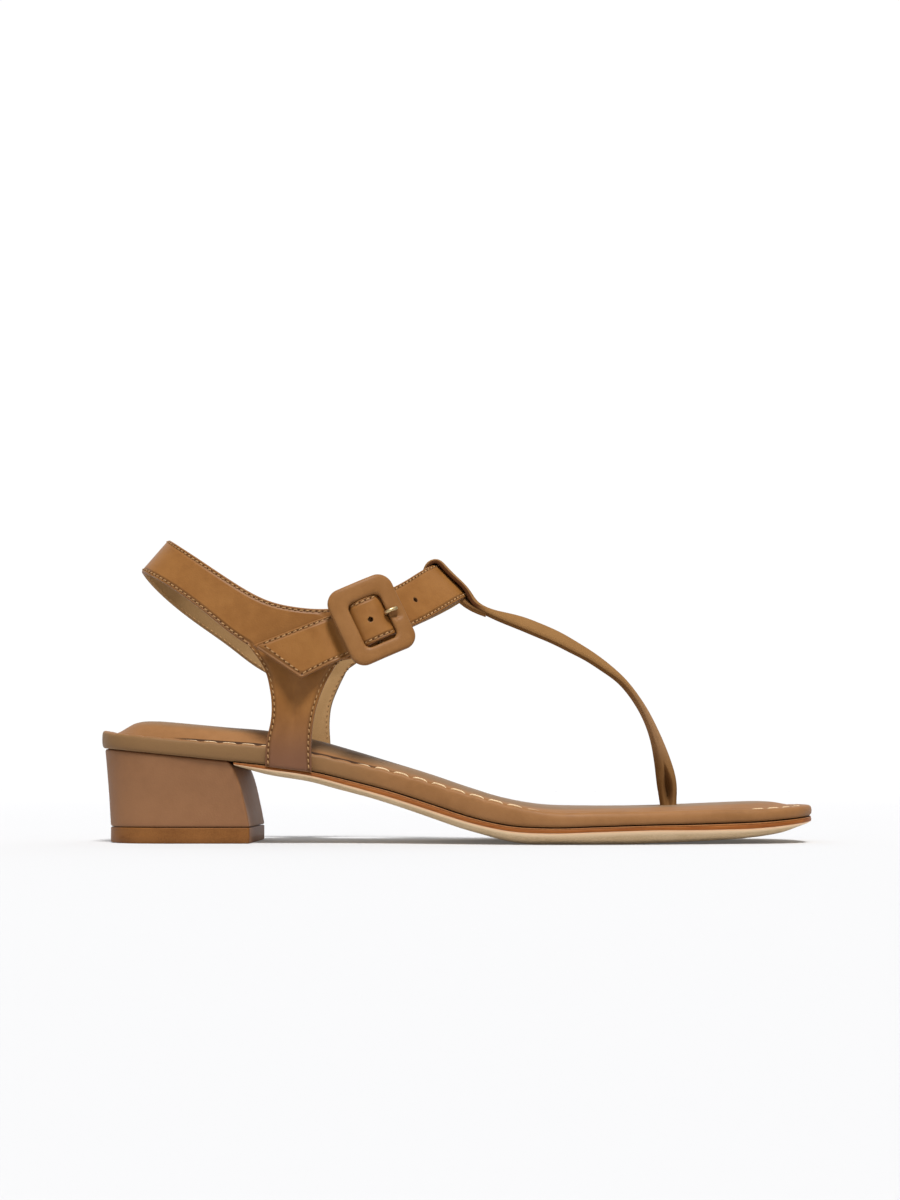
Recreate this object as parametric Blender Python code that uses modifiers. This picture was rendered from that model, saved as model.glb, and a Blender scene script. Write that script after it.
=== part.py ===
"""Heeled sandal, right foot: a T-strap thong with a slingback, a covered buckle and a low block heel.

The frame has +X to the toe, +Z up and the outer side of the foot on -Y. The floor is z = 0. Sizes are in
millimetres; the mesh is in metres.
"""
import math

import bmesh
import bpy
import numpy as np
from mathutils import Matrix

MM = 0.001
GAP = 0.3               # between pieces that meet

# Plan of the footbed: half-breadths to the outer side and to the inner side along the length.
PLAN = [  # x, outer, inner
    (-125.0, 27.5, 27.5), (-98.0, 28.2, 28.0), (-80.0, 28.6, 27.8), (-60.0, 28.7, 26.6), (-40.0, 29.0, 25.2),
    (-20.0, 30.6, 25.6), (0.0, 34.6, 29.2), (20.0, 39.4, 35.2), (38.0, 41.5, 40.0), (52.0, 40.6, 41.5),
    (66.0, 38.2, 40.8), (80.0, 34.6, 38.2), (98.0, 30.2, 34.2), (112.0, 27.6, 31.4), (125.0, 26.0, 29.6)]
HEEL_END_X, HEEL_END_LENGTH, HEEL_ROUND = -98.0, 26.5, 2.5
TOE_END_X, TOE_END_LENGTH, TOE_ROUND = 98.0, 26.5, 2.8
FOOTBED_STEPS, OUTSOLE_STEPS, END_STEPS = 34, 40, 20    # along the sides and round an end

# Side view of the footbed: its underside, the wrapped rim's height and the padding's rise above the rim.
FOOTBED = [  # x, underside z, rim height, padding rise
    (-125.0, 33.00, 6.5, 5.0), (-118.0, 32.29, 5.6, 5.3), (-100.0, 30.45, 5.6, 6.0), (-80.0, 28.41, 6.0, 5.8),
    (-65.0, 26.88, 6.4, 5.6),
    (-49.0, 24.70, 6.0, 5.0), (-36.2, 21.70, 6.1, 4.3), (-22.7, 18.20, 6.5, 3.3), (-9.1, 13.90, 7.0, 2.9),
    (4.4, 9.50, 7.3, 2.4), (17.7, 6.60, 6.7, 2.0), (31.0, 5.90, 5.2, 2.0), (47.0, 6.30, 4.8, 1.5),
    (61.0, 6.70, 4.5, 1.4), (87.0, 7.50, 4.3, 1.7), (107.0, 8.70, 3.9, 1.9), (119.0, 9.40, 3.7, 1.7),
    (125.0, 9.80, 3.6, 1.5)]
RIM_SECTION = [  # inset from the edge, share of the rim's height
    (8.0, 0.0), (1.4, 0.0), (0.3, 0.14), (0.0, 0.45), (0.12, 0.80), (0.9, 0.98), (2.6, 1.0), (4.6, 0.95)]
PAD_SECTION = [  # inset from the edge, share of the padding's rise
    (6.6, 0.13), (8.8, 0.45), (11.4, 0.74), (15.0, 0.92), (20.0, 0.985)]

# Outsole: the height of its upright edge and the level of its tread, which is flat under the ball.
OUTSOLE = [  # x, edge height, tread z
    (-75.7, 0.7, 26.5), (-66.0, 1.3, 23.8), (-49.6, 1.6, 20.9), (-40.0, 1.9, 18.3), (-29.8, 2.2, 15.6),
    (-19.5, 2.4, 12.4), (-9.2, 2.4, 8.9), (1.0, 2.2, 5.4), (8.0, 2.1, 3.4), (15.0, 2.0, 1.5),
    (21.5, 2.0, 0.3), (27.0, 2.0, 0.0), (42.0, 1.9, 0.0), (58.0, 1.9, 0.0), (66.0, 1.9, 0.3),
    (76.0, 2.1, 0.9), (89.0, 2.3, 1.9), (99.0, 2.4, 2.8), (106.0, 2.3, 3.8), (113.0, 2.1, 5.3),
    (118.0, 2.0, 6.2), (125.0, 1.8, 7.0)]
TREAD_SECTION = [  # inset from the edge, share of the drop from the edge to the tread
    (0.1, 0.0), (1.4, 0.36), (3.6, 0.70), (6.5, 0.92), (10.0, 1.0), (14.0, 1.0)]

# Heel block and the lift under it.
HEEL_LEVELS = [  # share of the height, back x, breast x, half breadth
    (0.0, -121.6, -70.7, 24.8), (0.2, -121.9, -71.5, 25.1), (0.45, -122.3, -72.7, 25.5),
    (0.7, -122.8, -74.1, 26.2), (0.88, -123.2, -75.6, 26.7), (1.0, -123.5, -77.3, 27.1)]
HEEL_MIDDLE_X, HEEL_BACK_ROUND, HEEL_BREAST_ROUND = -97.0, 2.5, 14.0
HEEL_AROUND = 56                    # points round the heel's section
LIFT_HEIGHT, LIFT_BEVEL = 5.4, 0.5

# The straps that go round the foot, one strip: from the buckle's bar back round the heel, forward on the
# inner side, over the instep and down the outer side to the free end.
STRIP = [  # name, lower edge x, y, z, upper edge x, y, z
    ("buckle_bar", -26.5, -28.0, 69.0, -31.5, -26.8, 81.0),
    ("outer_front", -40.0, -30.3, 61.8, -44.5, -29.2, 79.6),
    ("outer_middle", -56.0, -30.4, 61.8, -54.5, -29.5, 80.2),
    ("outer_rear", -70.4, -29.4, 67.9, -64.5, -28.4, 82.7),
    ("outer_band", -83.5, -26.1, 78.3, -77.0, -25.2, 89.7),
    ("outer_bend", -97.5, -19.8, 87.8, -89.5, -19.6, 98.2),
    ("outer_turn", -107.6, -10.5, 93.2, -98.0, -11.0, 104.0),
    ("heel_back", -111.0, 0.0, 94.3, -101.0, 0.0, 105.8),
    ("inner_turn", -107.8, 11.5, 89.6, -97.8, 11.8, 101.4),
    ("inner_bend", -97.5, 21.8, 80.6, -87.8, 21.0, 93.5),
    ("inner_band", -83.0, 27.0, 70.1, -74.0, 26.2, 83.4),
    ("inner_rear", -70.5, 28.8, 61.3, -62.0, 28.1, 77.0),
    ("inner_middle", -55.5, 29.2, 57.3, -53.0, 28.4, 75.6),
    ("inner_front", -40.5, 28.6, 62.6, -43.5, 27.9, 78.4),
    ("inner_rise", -27.0, 25.8, 72.3, -31.5, 25.0, 84.9),
    ("inner_instep", -11.0, 18.4, 79.8, -19.5, 17.8, 91.6),
    ("instep_inner", 0.0, 8.5, 84.6, -10.4, 8.3, 96.2),
    ("instep_ridge", 3.6, -0.5, 86.3, -7.6, -0.5, 97.5),
    ("instep_outer", 0.3, -9.0, 84.0, -10.6, -8.6, 95.8),
    ("outer_instep", -8.0, -19.8, 78.0, -17.2, -18.8, 90.6),
    ("buckle_front", -20.0, -30.6, 71.0, -27.0, -29.1, 84.4),
    ("buckle_rear", -33.0, -33.9, 64.9, -38.5, -32.9, 79.3),
    ("outer_end", -42.5, -34.2, 60.4, -51.0, -33.4, 74.0),
    ("free_end", -52.1, -35.4, 55.6, -68.8, -35.0, 66.8)]
STRIP_STEP, STRIP_ACROSS = 3.6, 4
STRAP_THICK = 2.0

# The quarters, which hang from the strip down the footbed's sides. Each row has the two side edges.
OUTER_QUARTER = [  # share of the drop, front x, y, z, rear x, y, z
    (0.15, -43.8, -30.3, 55.4, -65.2, -30.1, 59.6), (0.32, -46.4, -30.1, 49.4, -63.1, -30.0, 51.8),
    (0.52, -48.3, -30.0, 42.4, -62.7, -29.9, 43.6), (0.76, -49.1, -30.2, 33.4, -64.5, -30.1, 34.2),
    (1.0, -48.9, -30.3, 24.2, -64.8, -30.1, 26.2)]
INNER_QUARTER = [  # share of the drop, rear x, y, z, front x, y, z
    (0.15, -65.0, 28.9, 54.4, -43.6, 28.8, 56.4), (0.32, -62.4, 28.8, 48.4, -46.1, 28.6, 50.2),
    (0.52, -61.8, 28.5, 42.0, -47.0, 28.1, 43.4), (0.76, -62.3, 28.2, 34.0, -46.6, 27.4, 34.0),
    (1.0, -62.5, 28.2, 26.0, -46.5, 27.2, 24.0)]
QUARTER_ROWS = 9

# The thong: from the post in the footbed up over the foot and round the instep strap.
THONG = [  # x, y, z, breadth, fold in degrees, twist in degrees
    (75.7, 9.0, 11.6, 10.0, 80, 90), (75.3, 9.0, 16.0, 11.2, 80, 90), (74.6, 9.0, 21.8, 12.0, 79, 89),
    (73.6, 8.8, 28.4, 10.0, 76, 80), (72.1, 8.2, 34.6, 8.2, 58, 52), (70.1, 7.5, 40.6, 8.8, 28, 14),
    (67.7, 6.9, 45.2, 11.0, 10, 2), (64.6, 6.3, 50.3, 12.0, 6, 0), (59.8, 5.5, 56.7, 12.0, 7, 0),
    (53.7, 4.6, 61.9, 12.0, 12, 0), (45.2, 3.6, 67.4, 12.0, 16, 0), (33.8, 2.4, 73.0, 12.0, 18, 0),
    (22.4, 1.2, 77.8, 12.0, 18, 0), (14.0, 0.4, 81.2, 12.0, 10, 0), (7.6, 0.0, 84.9, 12.0, 4, 0),
    (4.3, 0.0, 88.8, 12.0, 2, 0), (-0.8, 0.0, 94.2, 12.0, 2, 0), (-5.3, 0.0, 98.4, 12.0, 2, 0),
    (-7.6, 0.0, 99.2, 12.0, 2, 0), (-9.2, 0.0, 98.1, 12.0, 2, 0)]
LOOP_BACK = [  # the loop's inner layer, sewn down under the thong: x, y, z
    (-8.9, 0.0, 98.5), (-8.7, 0.0, 96.9), (-4.0, 0.0, 91.8), (1.8, 0.0, 86.0), (5.0, 0.0, 83.2),
    (10.6, 0.0, 81.0)]
THONG_THICK, LOOP_BACK_THICK, LOOP_BACK_BREADTH = 2.2, 1.8, 11.4
THONG_STEP, LOOP_BACK_STEP = 3.4, 1.8
POST_SLOT_DEEPER = 0.1              # how far the slot goes below the post, in shares of the first stretch
BAND_FOLD_SPAN = 0.55               # the share of a band's half breadth that its fold takes up

# The covered buckle, its bar under the strap and the prong.
BUCKLE_LENGTH, BUCKLE_BREADTH, BUCKLE_THICK = 23.6, 27.4, 3.0
WINDOW_LENGTH, WINDOW_BREADTH = 11.4, 16.2
BUCKLE_CORNER, WINDOW_CORNER = 5.0, 2.6
CORNER_STEPS, SIDE_STEPS = 5, 6     # of the frame's outline
FRAME_AROUND, FRAME_ROUND = 10, 3.5 # points round the frame's section, and how full it is
BUCKLE_X = -29.0                    # where the buckle's middle is on the strap
BUCKLE_CLEAR = 0.4                  # between the buckle and the strap
BUCKLE_BEND = 0.012                 # how far the frame falls back along its length, per square millimetre
BUCKLE_RISE = STRAP_THICK / 2 + BUCKLE_CLEAR + BUCKLE_THICK / 2
BAR_SIZE = 1.3
PRONG_RADIUS, PRONG_AT, PRONG_END = 0.75, 4.7, 10.4
HOLE_PITCH, HOLE_RADIUS = 5.9, 1.15
HOLE_PLACES = (-1, 0, 1, 2)         # in pitches from the prong's hole

COLOURS = {  # leather, lining, edge and metal colours
    "tan_leather": (0.42, 0.20, 0.085), "cut_sole": (0.62, 0.40, 0.22), "heel_leather": (0.36, 0.17, 0.075),
    "lift": (0.22, 0.11, 0.06), "gold": (0.83, 0.62, 0.30)}


def between(table, x):
    """The columns of a table at x, joined by smooth curves through its rows."""
    rows = np.array(table, float)
    knots, values = rows[:, 0], rows[:, 1:]
    slopes = np.gradient(values, knots, axis=0)
    flat = np.diff(values, axis=0) == 0.0
    slopes[:-1][flat] = 0.0
    slopes[1:][flat] = 0.0
    x = np.clip(np.atleast_1d(np.asarray(x, float)), knots[0], knots[-1])
    i = np.clip(np.searchsorted(knots, x, side="right") - 1, 0, len(knots) - 2)
    h = (knots[i + 1] - knots[i])[:, None]
    t = ((x - knots[i])[:, None]) / h
    return ((2 * t**3 - 3 * t**2 + 1) * values[i] + (t**3 - 2 * t**2 + t) * h * slopes[i]
            + (3 * t**2 - 2 * t**3) * values[i + 1] + (t**3 - t**2) * h * slopes[i + 1])


def along(points, steps):
    """A smooth curve through points, with the given number of steps in each stretch."""
    points = np.array(points, float)
    knots = np.concatenate([[0.0], np.cumsum(np.linalg.norm(np.diff(points[:, :3], axis=0), axis=1))])
    count = len(knots)
    h = np.diff(knots)
    system = np.zeros((count, count))
    right = np.zeros((count, points.shape[1]))
    system[0, 0] = system[-1, -1] = 1.0
    for i in range(1, count - 1):
        system[i, i - 1:i + 2] = h[i - 1], 2.0 * (h[i - 1] + h[i]), h[i]
        right[i] = 6.0 * ((points[i + 1] - points[i]) / h[i] - (points[i] - points[i - 1]) / h[i - 1])
    bend = np.linalg.solve(system, right)
    curve = []
    for i in range(count - 1):
        t = np.linspace(0.0, h[i], steps[i] + 1)[:-1, None]
        a, b = (h[i] - t) / h[i], t / h[i]
        curve.append(a * points[i] + b * points[i + 1]
                     + ((a**3 - a) * bend[i] + (b**3 - b) * bend[i + 1]) * h[i]**2 / 6.0)
    return np.vstack(curve + [points[-1:]])


def steps_of(points, step):
    """How many steps of about that length each stretch between points takes, two at least."""
    lengths = np.linalg.norm(np.diff(points, axis=0), axis=1)
    return np.maximum(2, np.round(lengths / step)).astype(int)


def unit(v):
    return v / np.linalg.norm(v, axis=-1, keepdims=True)


def material(name):
    made = bpy.data.materials.new(name)
    made.use_nodes = True
    shader = made.node_tree.nodes["Principled BSDF"]
    shader.inputs["Base Color"].default_value = (*COLOURS[name], 1.0)
    shader.inputs["Roughness"].default_value = 0.3 if name == "gold" else 0.55
    shader.inputs["Metallic"].default_value = 1.0 if name == "gold" else 0.0
    return made


def closed_mesh(name, verts, faces, colour=None, group=None):
    """An object from vertices in millimetres, with double points joined and its faces turned outward."""
    mesh = bpy.data.meshes.new(name)
    bm = bmesh.new()
    points = [bm.verts.new((np.asarray(v) * MM).tolist()) for v in verts]
    for face in faces:
        bm.faces.new([points[i] for i in face])
    bmesh.ops.remove_doubles(bm, verts=bm.verts, dist=0.00001)
    bmesh.ops.dissolve_degenerate(bm, edges=bm.edges, dist=0.00001)
    ends = [edge for edge in bm.edges if edge.is_boundary]
    if ends and group is not cutters:
        bmesh.ops.holes_fill(bm, edges=ends)
    bmesh.ops.recalc_face_normals(bm, faces=bm.faces)
    bm.to_mesh(mesh)
    bm.free()
    made = bpy.data.objects.new(name, mesh)
    (group or parts).objects.link(made)
    if colour:
        mesh.materials.append(materials[colour])
    return made


def surface(name, verts, faces):
    """An open surface, to be thickened into a shell."""
    mesh = bpy.data.meshes.new(name)
    mesh.from_pydata((np.asarray(verts) * MM).tolist(), [], faces)
    made = bpy.data.objects.new(name, mesh)
    cutters.objects.link(made)
    bm = bmesh.new()
    bm.from_mesh(mesh)
    bmesh.ops.recalc_face_normals(bm, faces=bm.faces)
    bm.to_mesh(mesh)
    bm.free()
    return made


def thicken(made, thickness):
    shell = made.modifiers.new("wall", "SOLIDIFY")
    shell.thickness = thickness * MM
    shell.offset = 0.0
    shell.use_even_offset = True
    return made


def apply_modifiers(made):
    """Put the modifiers' result into the object's own mesh."""
    graph = bpy.context.evaluated_depsgraph_get()
    mesh = bpy.data.meshes.new_from_object(made.evaluated_get(graph))
    made.modifiers.clear()
    made.data = mesh
    return made


def combine(made, other, operation):
    cut = made.modifiers.new(operation.lower(), "BOOLEAN")
    cut.operation = operation
    cut.solver = "EXACT"
    cut.object = other
    return apply_modifiers(made)


def hide(made):
    made.hide_render = True
    made.display_type = "WIRE"
    return made


def strip_faces(rings, count, closed):
    """Quads between neighbouring rings of count points."""
    last = count if closed else count - 1
    faces = []
    for start in range(0, (rings - 1) * count, count):
        for i in range(last):
            j = (i + 1) % count
            faces.append((start + i, start + j, start + count + j, start + count + i))
    return faces


def outline(start_x, side_steps, heel_steps, toe_steps):
    """The footbed's plan as edge points and the middle-line points they face, outer side first."""
    xs = np.linspace(start_x, TOE_END_X, side_steps + 1)
    edges = between(PLAN, xs)
    middle = (edges[:, 1] - edges[:, 0]) / 2
    outer = np.column_stack([xs, -edges[:, 0]])
    inner = np.column_stack([xs, edges[:, 1]])
    spine = np.column_stack([xs, middle])

    def end(end_x, length, roundness, steps, sign):
        angle = np.linspace(-math.pi / 2, math.pi / 2, steps + 1)[1:-1]
        c, s = np.cos(angle), np.sin(angle)
        reach = (np.abs(c)**roundness + np.abs(s)**roundness)**(-1.0 / roundness)
        x = end_x + sign * length * c * reach
        sides = between(PLAN, x)
        centre = between(PLAN, end_x)[0]
        centre = (centre[1] - centre[0]) / 2
        half = np.where(s < 0, sides[:, 0] + centre, sides[:, 1] - centre)
        rim = np.column_stack([x, centre + half * s * reach])
        return rim, np.tile([end_x, centre], (len(rim), 1))

    toe, toe_spine = end(TOE_END_X, TOE_END_LENGTH, TOE_ROUND, toe_steps, 1.0)
    edge, facing = [outer, toe, inner[::-1]], [spine, toe_spine, spine[::-1]]
    if heel_steps:
        heel, heel_spine = end(HEEL_END_X, HEEL_END_LENGTH, HEEL_ROUND, heel_steps, -1.0)
        edge.append(heel[::-1])
        facing.append(heel_spine)
    return np.vstack(edge), np.vstack(facing)


def inset(edge, facing, distance):
    """Edge points moved towards the middle line."""
    way = facing - edge
    reach = np.linalg.norm(way, axis=1, keepdims=True)
    return edge + way * np.minimum(distance / reach, 0.9)


def make_footbed():
    edge, facing = outline(HEEL_END_X, FOOTBED_STEPS, END_STEPS, END_STEPS)

    def ring(plan, share_of_rim, share_of_pad):
        side = between(FOOTBED, plan[:, 0])
        return np.column_stack([plan, side[:, 0] + side[:, 1] * share_of_rim + side[:, 2] * share_of_pad])

    rings = [ring(facing, 0.0, 0.0)]
    rings += [ring(inset(edge, facing, d), share, 0.0) for d, share in RIM_SECTION]
    rings += [ring(inset(edge, facing, d), 1.0, share) for d, share in PAD_SECTION]
    rings += [ring(facing, 1.0, 1.0)]
    made = closed_mesh("footbed", np.vstack(rings), strip_faces(len(rings), len(edge), True), "tan_leather")
    return combine(made, post_slot(), "DIFFERENCE")


def post_slot():
    """A cutter with the post's own folded section, wider by the gap all round."""
    foot, knee = np.array(THONG[:2], float)
    line = foot + np.linspace(-POST_SLOT_DEEPER, 1.0, 4)[:, None] * (knee - foot)
    breadth, fold, twist = line[:, 3:].T
    return hide(band("post_slot", line[:, :3], breadth + 2 * GAP, fold, twist, THONG_THICK + 2 * GAP))


def move_to_cutters(made):
    for group in list(made.users_collection):
        group.objects.unlink(made)
    cutters.objects.link(hide(made))
    bpy.context.view_layer.update()


def make_outsole():
    edge, facing = outline(OUTSOLE[0][0], OUTSOLE_STEPS, 0, END_STEPS)

    def top(plan):
        return np.column_stack([plan, between(FOOTBED, plan[:, 0])[:, 0] - GAP])

    def under(plan, share):
        side = between(OUTSOLE, plan[:, 0])
        foot = between(FOOTBED, plan[:, 0])[:, 0] - GAP - side[:, 0]
        return np.column_stack([plan, foot + (side[:, 1] - foot) * share])

    rings = [top(facing), top(inset(edge, facing, 8.0)), top(inset(edge, facing, 0.1))]
    rings += [under(inset(edge, facing, d), share) for d, share in TREAD_SECTION]
    rings += [under(facing, 1.0)]
    return closed_mesh("outsole", np.vstack(rings), strip_faces(len(rings), len(edge), False), "cut_sole")


def heel_plan(back, breast, half):
    """A heel's section: round at the back, straight across the breast with soft corners."""
    angle = np.linspace(0.0, 2 * math.pi, HEEL_AROUND, endpoint=False)
    c, s = np.cos(angle), np.sin(angle)
    front = c > 1e-9
    power = np.where(front, HEEL_BREAST_ROUND, HEEL_BACK_ROUND)
    reach = (np.abs(c)**power + np.abs(s)**power)**(-1.0 / power)
    length = np.where(front, breast - HEEL_MIDDLE_X, HEEL_MIDDLE_X - back)
    return np.column_stack([HEEL_MIDDLE_X + length * c * reach, half * s * reach])


def make_heel():
    rings = []
    for share, back, breast, half in HEEL_LEVELS:
        plan = heel_plan(back, breast, half)
        seat = between(FOOTBED, plan[:, 0])[:, 0] - GAP
        foot = LIFT_HEIGHT + GAP
        rings.append(np.column_stack([plan, foot + (seat - foot) * share]))
    faces = strip_faces(len(rings), len(rings[0]), True)
    return closed_mesh("heel_block", np.vstack(rings), faces, "heel_leather")


def make_lift():
    share, back, breast, half = HEEL_LEVELS[0]
    rings = []
    for z, grow in ((0.0, -LIFT_BEVEL), (LIFT_BEVEL, 0.0), (LIFT_HEIGHT, 0.0)):
        plan = heel_plan(back - grow, breast + grow, half + grow)
        rings.append(np.column_stack([plan, np.full(len(plan), z)]))
    return closed_mesh("heel_lift", np.vstack(rings), strip_faces(len(rings), len(rings[0]), True), "lift")


def strip_curve():
    """The strip's middle line, lower edge and upper edge at close steps, and each row's place among them."""
    rows = np.array([row[1:] for row in STRIP])
    middle = (rows[:, :3] + rows[:, 3:]) / 2
    steps = steps_of(middle, STRIP_STEP)
    places = np.concatenate([[0], np.cumsum(steps)])
    return along(np.column_stack([middle, rows]), steps), dict(zip([row[0] for row in STRIP], places))


def make_strip():
    """The strip of straps with both quarters hanging from its lower edge."""
    curve, at = strip_curve()
    low, high = curve[:, 3:6], curve[:, 6:9]
    share = np.linspace(0.0, 1.0, STRIP_ACROSS + 1)[None, :, None]
    grid = low[:, None, :] * (1 - share) + high[:, None, :] * share
    across = STRIP_ACROSS + 1
    verts = list(grid.reshape(-1, 3))
    faces = strip_faces(len(curve), across, False)
    quarters = ((OUTER_QUARTER, "outer_front", "outer_rear"), (INNER_QUARTER, "inner_rear", "inner_front"))
    for table, first, last in quarters:
        above = [i * across for i in range(at[first], at[last] + 1)]
        top = np.array([verts[i] for i in above])
        sides = between([(0.0, *top[0], *top[-1])] + table, np.linspace(0.0, 1.0, QUARTER_ROWS + 1))
        span = np.linspace(0.0, 1.0, len(top))[:, None]
        sag = top - (top[0] * (1 - span) + top[-1] * span)
        for k in range(1, QUARTER_ROWS + 1):
            row = sides[k, :3] * (1 - span) + sides[k, 3:] * span + sag * (1 - k / QUARTER_ROWS)**2
            ids = list(range(len(verts), len(verts) + len(row)))
            verts += list(row)
            faces += [(above[i], ids[i], ids[i + 1], above[i + 1]) for i in range(len(row) - 1)]
            above = ids
    return apply_modifiers(thicken(surface("upper", np.array(verts), faces), STRAP_THICK))


def band(name, path, breadth, fold, twist, thickness, across=8):
    """A leather band carried along a path, folded along its middle and turned about the path."""
    way = unit(np.gradient(path, axis=0))
    side = np.array([0.0, 1.0, 0.0]) - way * way[:, 1:2]
    side = unit(side)
    up = np.cross(side, way)
    turn = np.radians(twist)[:, None]
    ridge, wing = np.cos(turn) * up + np.sin(turn) * side, np.cos(turn) * side - np.sin(turn) * up
    fine = np.linspace(-1.0, 1.0, 8 * across + 1)
    lean = np.radians(fold)[:, None] * np.sin(np.clip(fine / BAND_FOLD_SPAN, -1, 1) * math.pi / 2)[None, :]
    step = breadth[:, None] / (len(fine) - 1)
    out = np.cumsum(np.cos(lean) * step, axis=1)
    drop = -np.cumsum(np.sin(lean) * step, axis=1)
    out = out - out[:, [len(fine) // 2]]
    drop = drop - (drop.max(axis=1) + drop.min(axis=1))[:, None] / 2
    out, drop = out[:, ::8], drop[:, ::8]
    grid = path[:, None, :] + out[:, :, None] * wing[:, None, :] + drop[:, :, None] * ridge[:, None, :]
    made = surface(name, grid.reshape(-1, 3), strip_faces(len(path), across + 1, False))
    return apply_modifiers(thicken(made, thickness))


def make_upper():
    upper = make_strip()
    rows = np.array(THONG, float)
    line = along(rows, steps_of(rows[:, :3], THONG_STEP))
    thong = band("thong", line[:, :3], *line[:, 3:].T, THONG_THICK)
    back = along(LOOP_BACK, steps_of(np.array(LOOP_BACK), LOOP_BACK_STEP))
    plain = np.zeros(len(back))
    layer = band("loop_back", back, plain + LOOP_BACK_BREADTH, plain, plain, LOOP_BACK_THICK, 4)
    for piece in (thong, layer):
        combine(upper, hide(piece), "UNION")
    for place in HOLE_PLACES:
        combine(upper, hole_cutter(PRONG_AT + HOLE_PITCH * place), "DIFFERENCE")
    cutters.objects.unlink(upper)
    parts.objects.link(upper)
    upper.data.materials.clear()
    upper.data.materials.append(materials["tan_leather"])
    return upper


def strap_at(distance):
    """The strap's point, lengthways, crossways and outward directions, a distance forward of the buckle."""
    curve, at = strip_curve()
    run = curve[at["instep_ridge"]:at["free_end"] + 1][::-1]
    length = np.concatenate([[0.0], np.cumsum(np.linalg.norm(np.diff(run[:, :3], axis=0), axis=1))])
    start = np.interp(BUCKLE_X, run[:, 0], length)

    def columns(where):
        return np.array([np.interp(where, length, run[:, k]) for k in range(9)])

    here, back, front = (columns(start + distance + step) for step in (0.0, -0.5, 0.5))
    way = unit(front[:3] - back[:3])
    across = here[6:9] - here[3:6]
    across = unit(across - way * across.dot(way))
    return here[:3], way, across, np.cross(way, across)


def on_buckle(points):
    """Points given along, across and out of the buckle, which is bent to the foot with the strap."""
    seat, way, across, outward = strap_at(0.0)
    points = np.asarray(points, float)
    out = BUCKLE_RISE + points[:, 2:] - BUCKLE_BEND * points[:, :1]**2
    return seat + points[:, :1] * way + points[:, 1:2] * across + out * outward


def hole_cutter(distance):
    """A round cutter through the strap."""
    centre, way, across, outward = strap_at(distance)
    bpy.ops.mesh.primitive_cylinder_add(vertices=16, radius=HOLE_RADIUS * MM, depth=3.0 * STRAP_THICK * MM)
    cutter = bpy.context.object
    cutter.name = "strap_hole_cutter"
    turned = np.eye(4)
    turned[:3, 0], turned[:3, 1], turned[:3, 2], turned[:3, 3] = way, across, outward, centre * MM
    cutter.matrix_world = Matrix(turned.tolist())
    move_to_cutters(cutter)
    return cutter


def soft_box(length, breadth, corner):
    """A rectangle with round corners: four arcs joined by straight sides, all in close steps."""
    turn = np.linspace(0.0, math.pi / 2, CORNER_STEPS + 1)
    share = np.linspace(0.0, 1.0, SIDE_STEPS + 1)[1:-1, None]
    arcs = []
    for quarter, (sx, sy) in enumerate(((1, 1), (-1, 1), (-1, -1), (1, -1))):
        angle = turn + quarter * math.pi / 2
        arcs.append(np.column_stack([sx * (length / 2 - corner) + corner * np.cos(angle),
                                     sy * (breadth / 2 - corner) + corner * np.sin(angle)]))
    sides = [arcs[i][-1] * (1 - share) + arcs[(i + 1) % 4][0] * share for i in range(4)]
    return np.vstack([piece for pair in zip(arcs, sides) for piece in pair])


def make_buckle():
    outer = soft_box(BUCKLE_LENGTH, BUCKLE_BREADTH, BUCKLE_CORNER)
    inner = soft_box(WINDOW_LENGTH, WINDOW_BREADTH, WINDOW_CORNER)
    count = len(outer)
    angle = np.linspace(0.0, 2 * math.pi, FRAME_AROUND, endpoint=False) + math.pi / FRAME_AROUND
    c, s = np.cos(angle), np.sin(angle)
    reach = (np.abs(c)**FRAME_ROUND + np.abs(s)**FRAME_ROUND)**(-1.0 / FRAME_ROUND)
    share, rise = 0.5 + 0.5 * c * reach, 0.5 * BUCKLE_THICK * s * reach
    rings = [np.column_stack([inner * (1 - k) + outer * k, np.full(count, z)]) for k, z in zip(share, rise)]
    rings.append(rings[0])
    frame = closed_mesh("buckle_frame", np.vstack([on_buckle(r) for r in rings]),
                        strip_faces(len(rings), count, True), "tan_leather")
    half = BAR_SIZE / 2
    post = WINDOW_BREADTH / 2 + 1.0
    depth = BUCKLE_RISE + STRAP_THICK / 2 + BUCKLE_CLEAR + half

    def staple_path(grow):
        wide, deep = post + grow, -depth - grow
        return [(-wide, 0.0), (-wide, deep), (wide, deep), (wide, 0.0)]

    verts = [(x, *p) for x in (-half, half) for p in staple_path(half) + staple_path(-half)]
    faces = [(0, 1, 5, 4), (1, 2, 6, 5), (2, 3, 7, 6), (8, 12, 13, 9), (9, 13, 14, 10), (10, 14, 15, 11),
             (0, 8, 9, 1), (1, 9, 10, 2), (2, 10, 11, 3), (4, 5, 13, 12), (5, 6, 14, 13), (6, 7, 15, 14),
             (0, 4, 12, 8), (3, 11, 15, 7)]
    staple = closed_mesh("buckle_bar", on_buckle(verts), faces, None, cutters)
    return combine(frame, hide(staple), "UNION")


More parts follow.
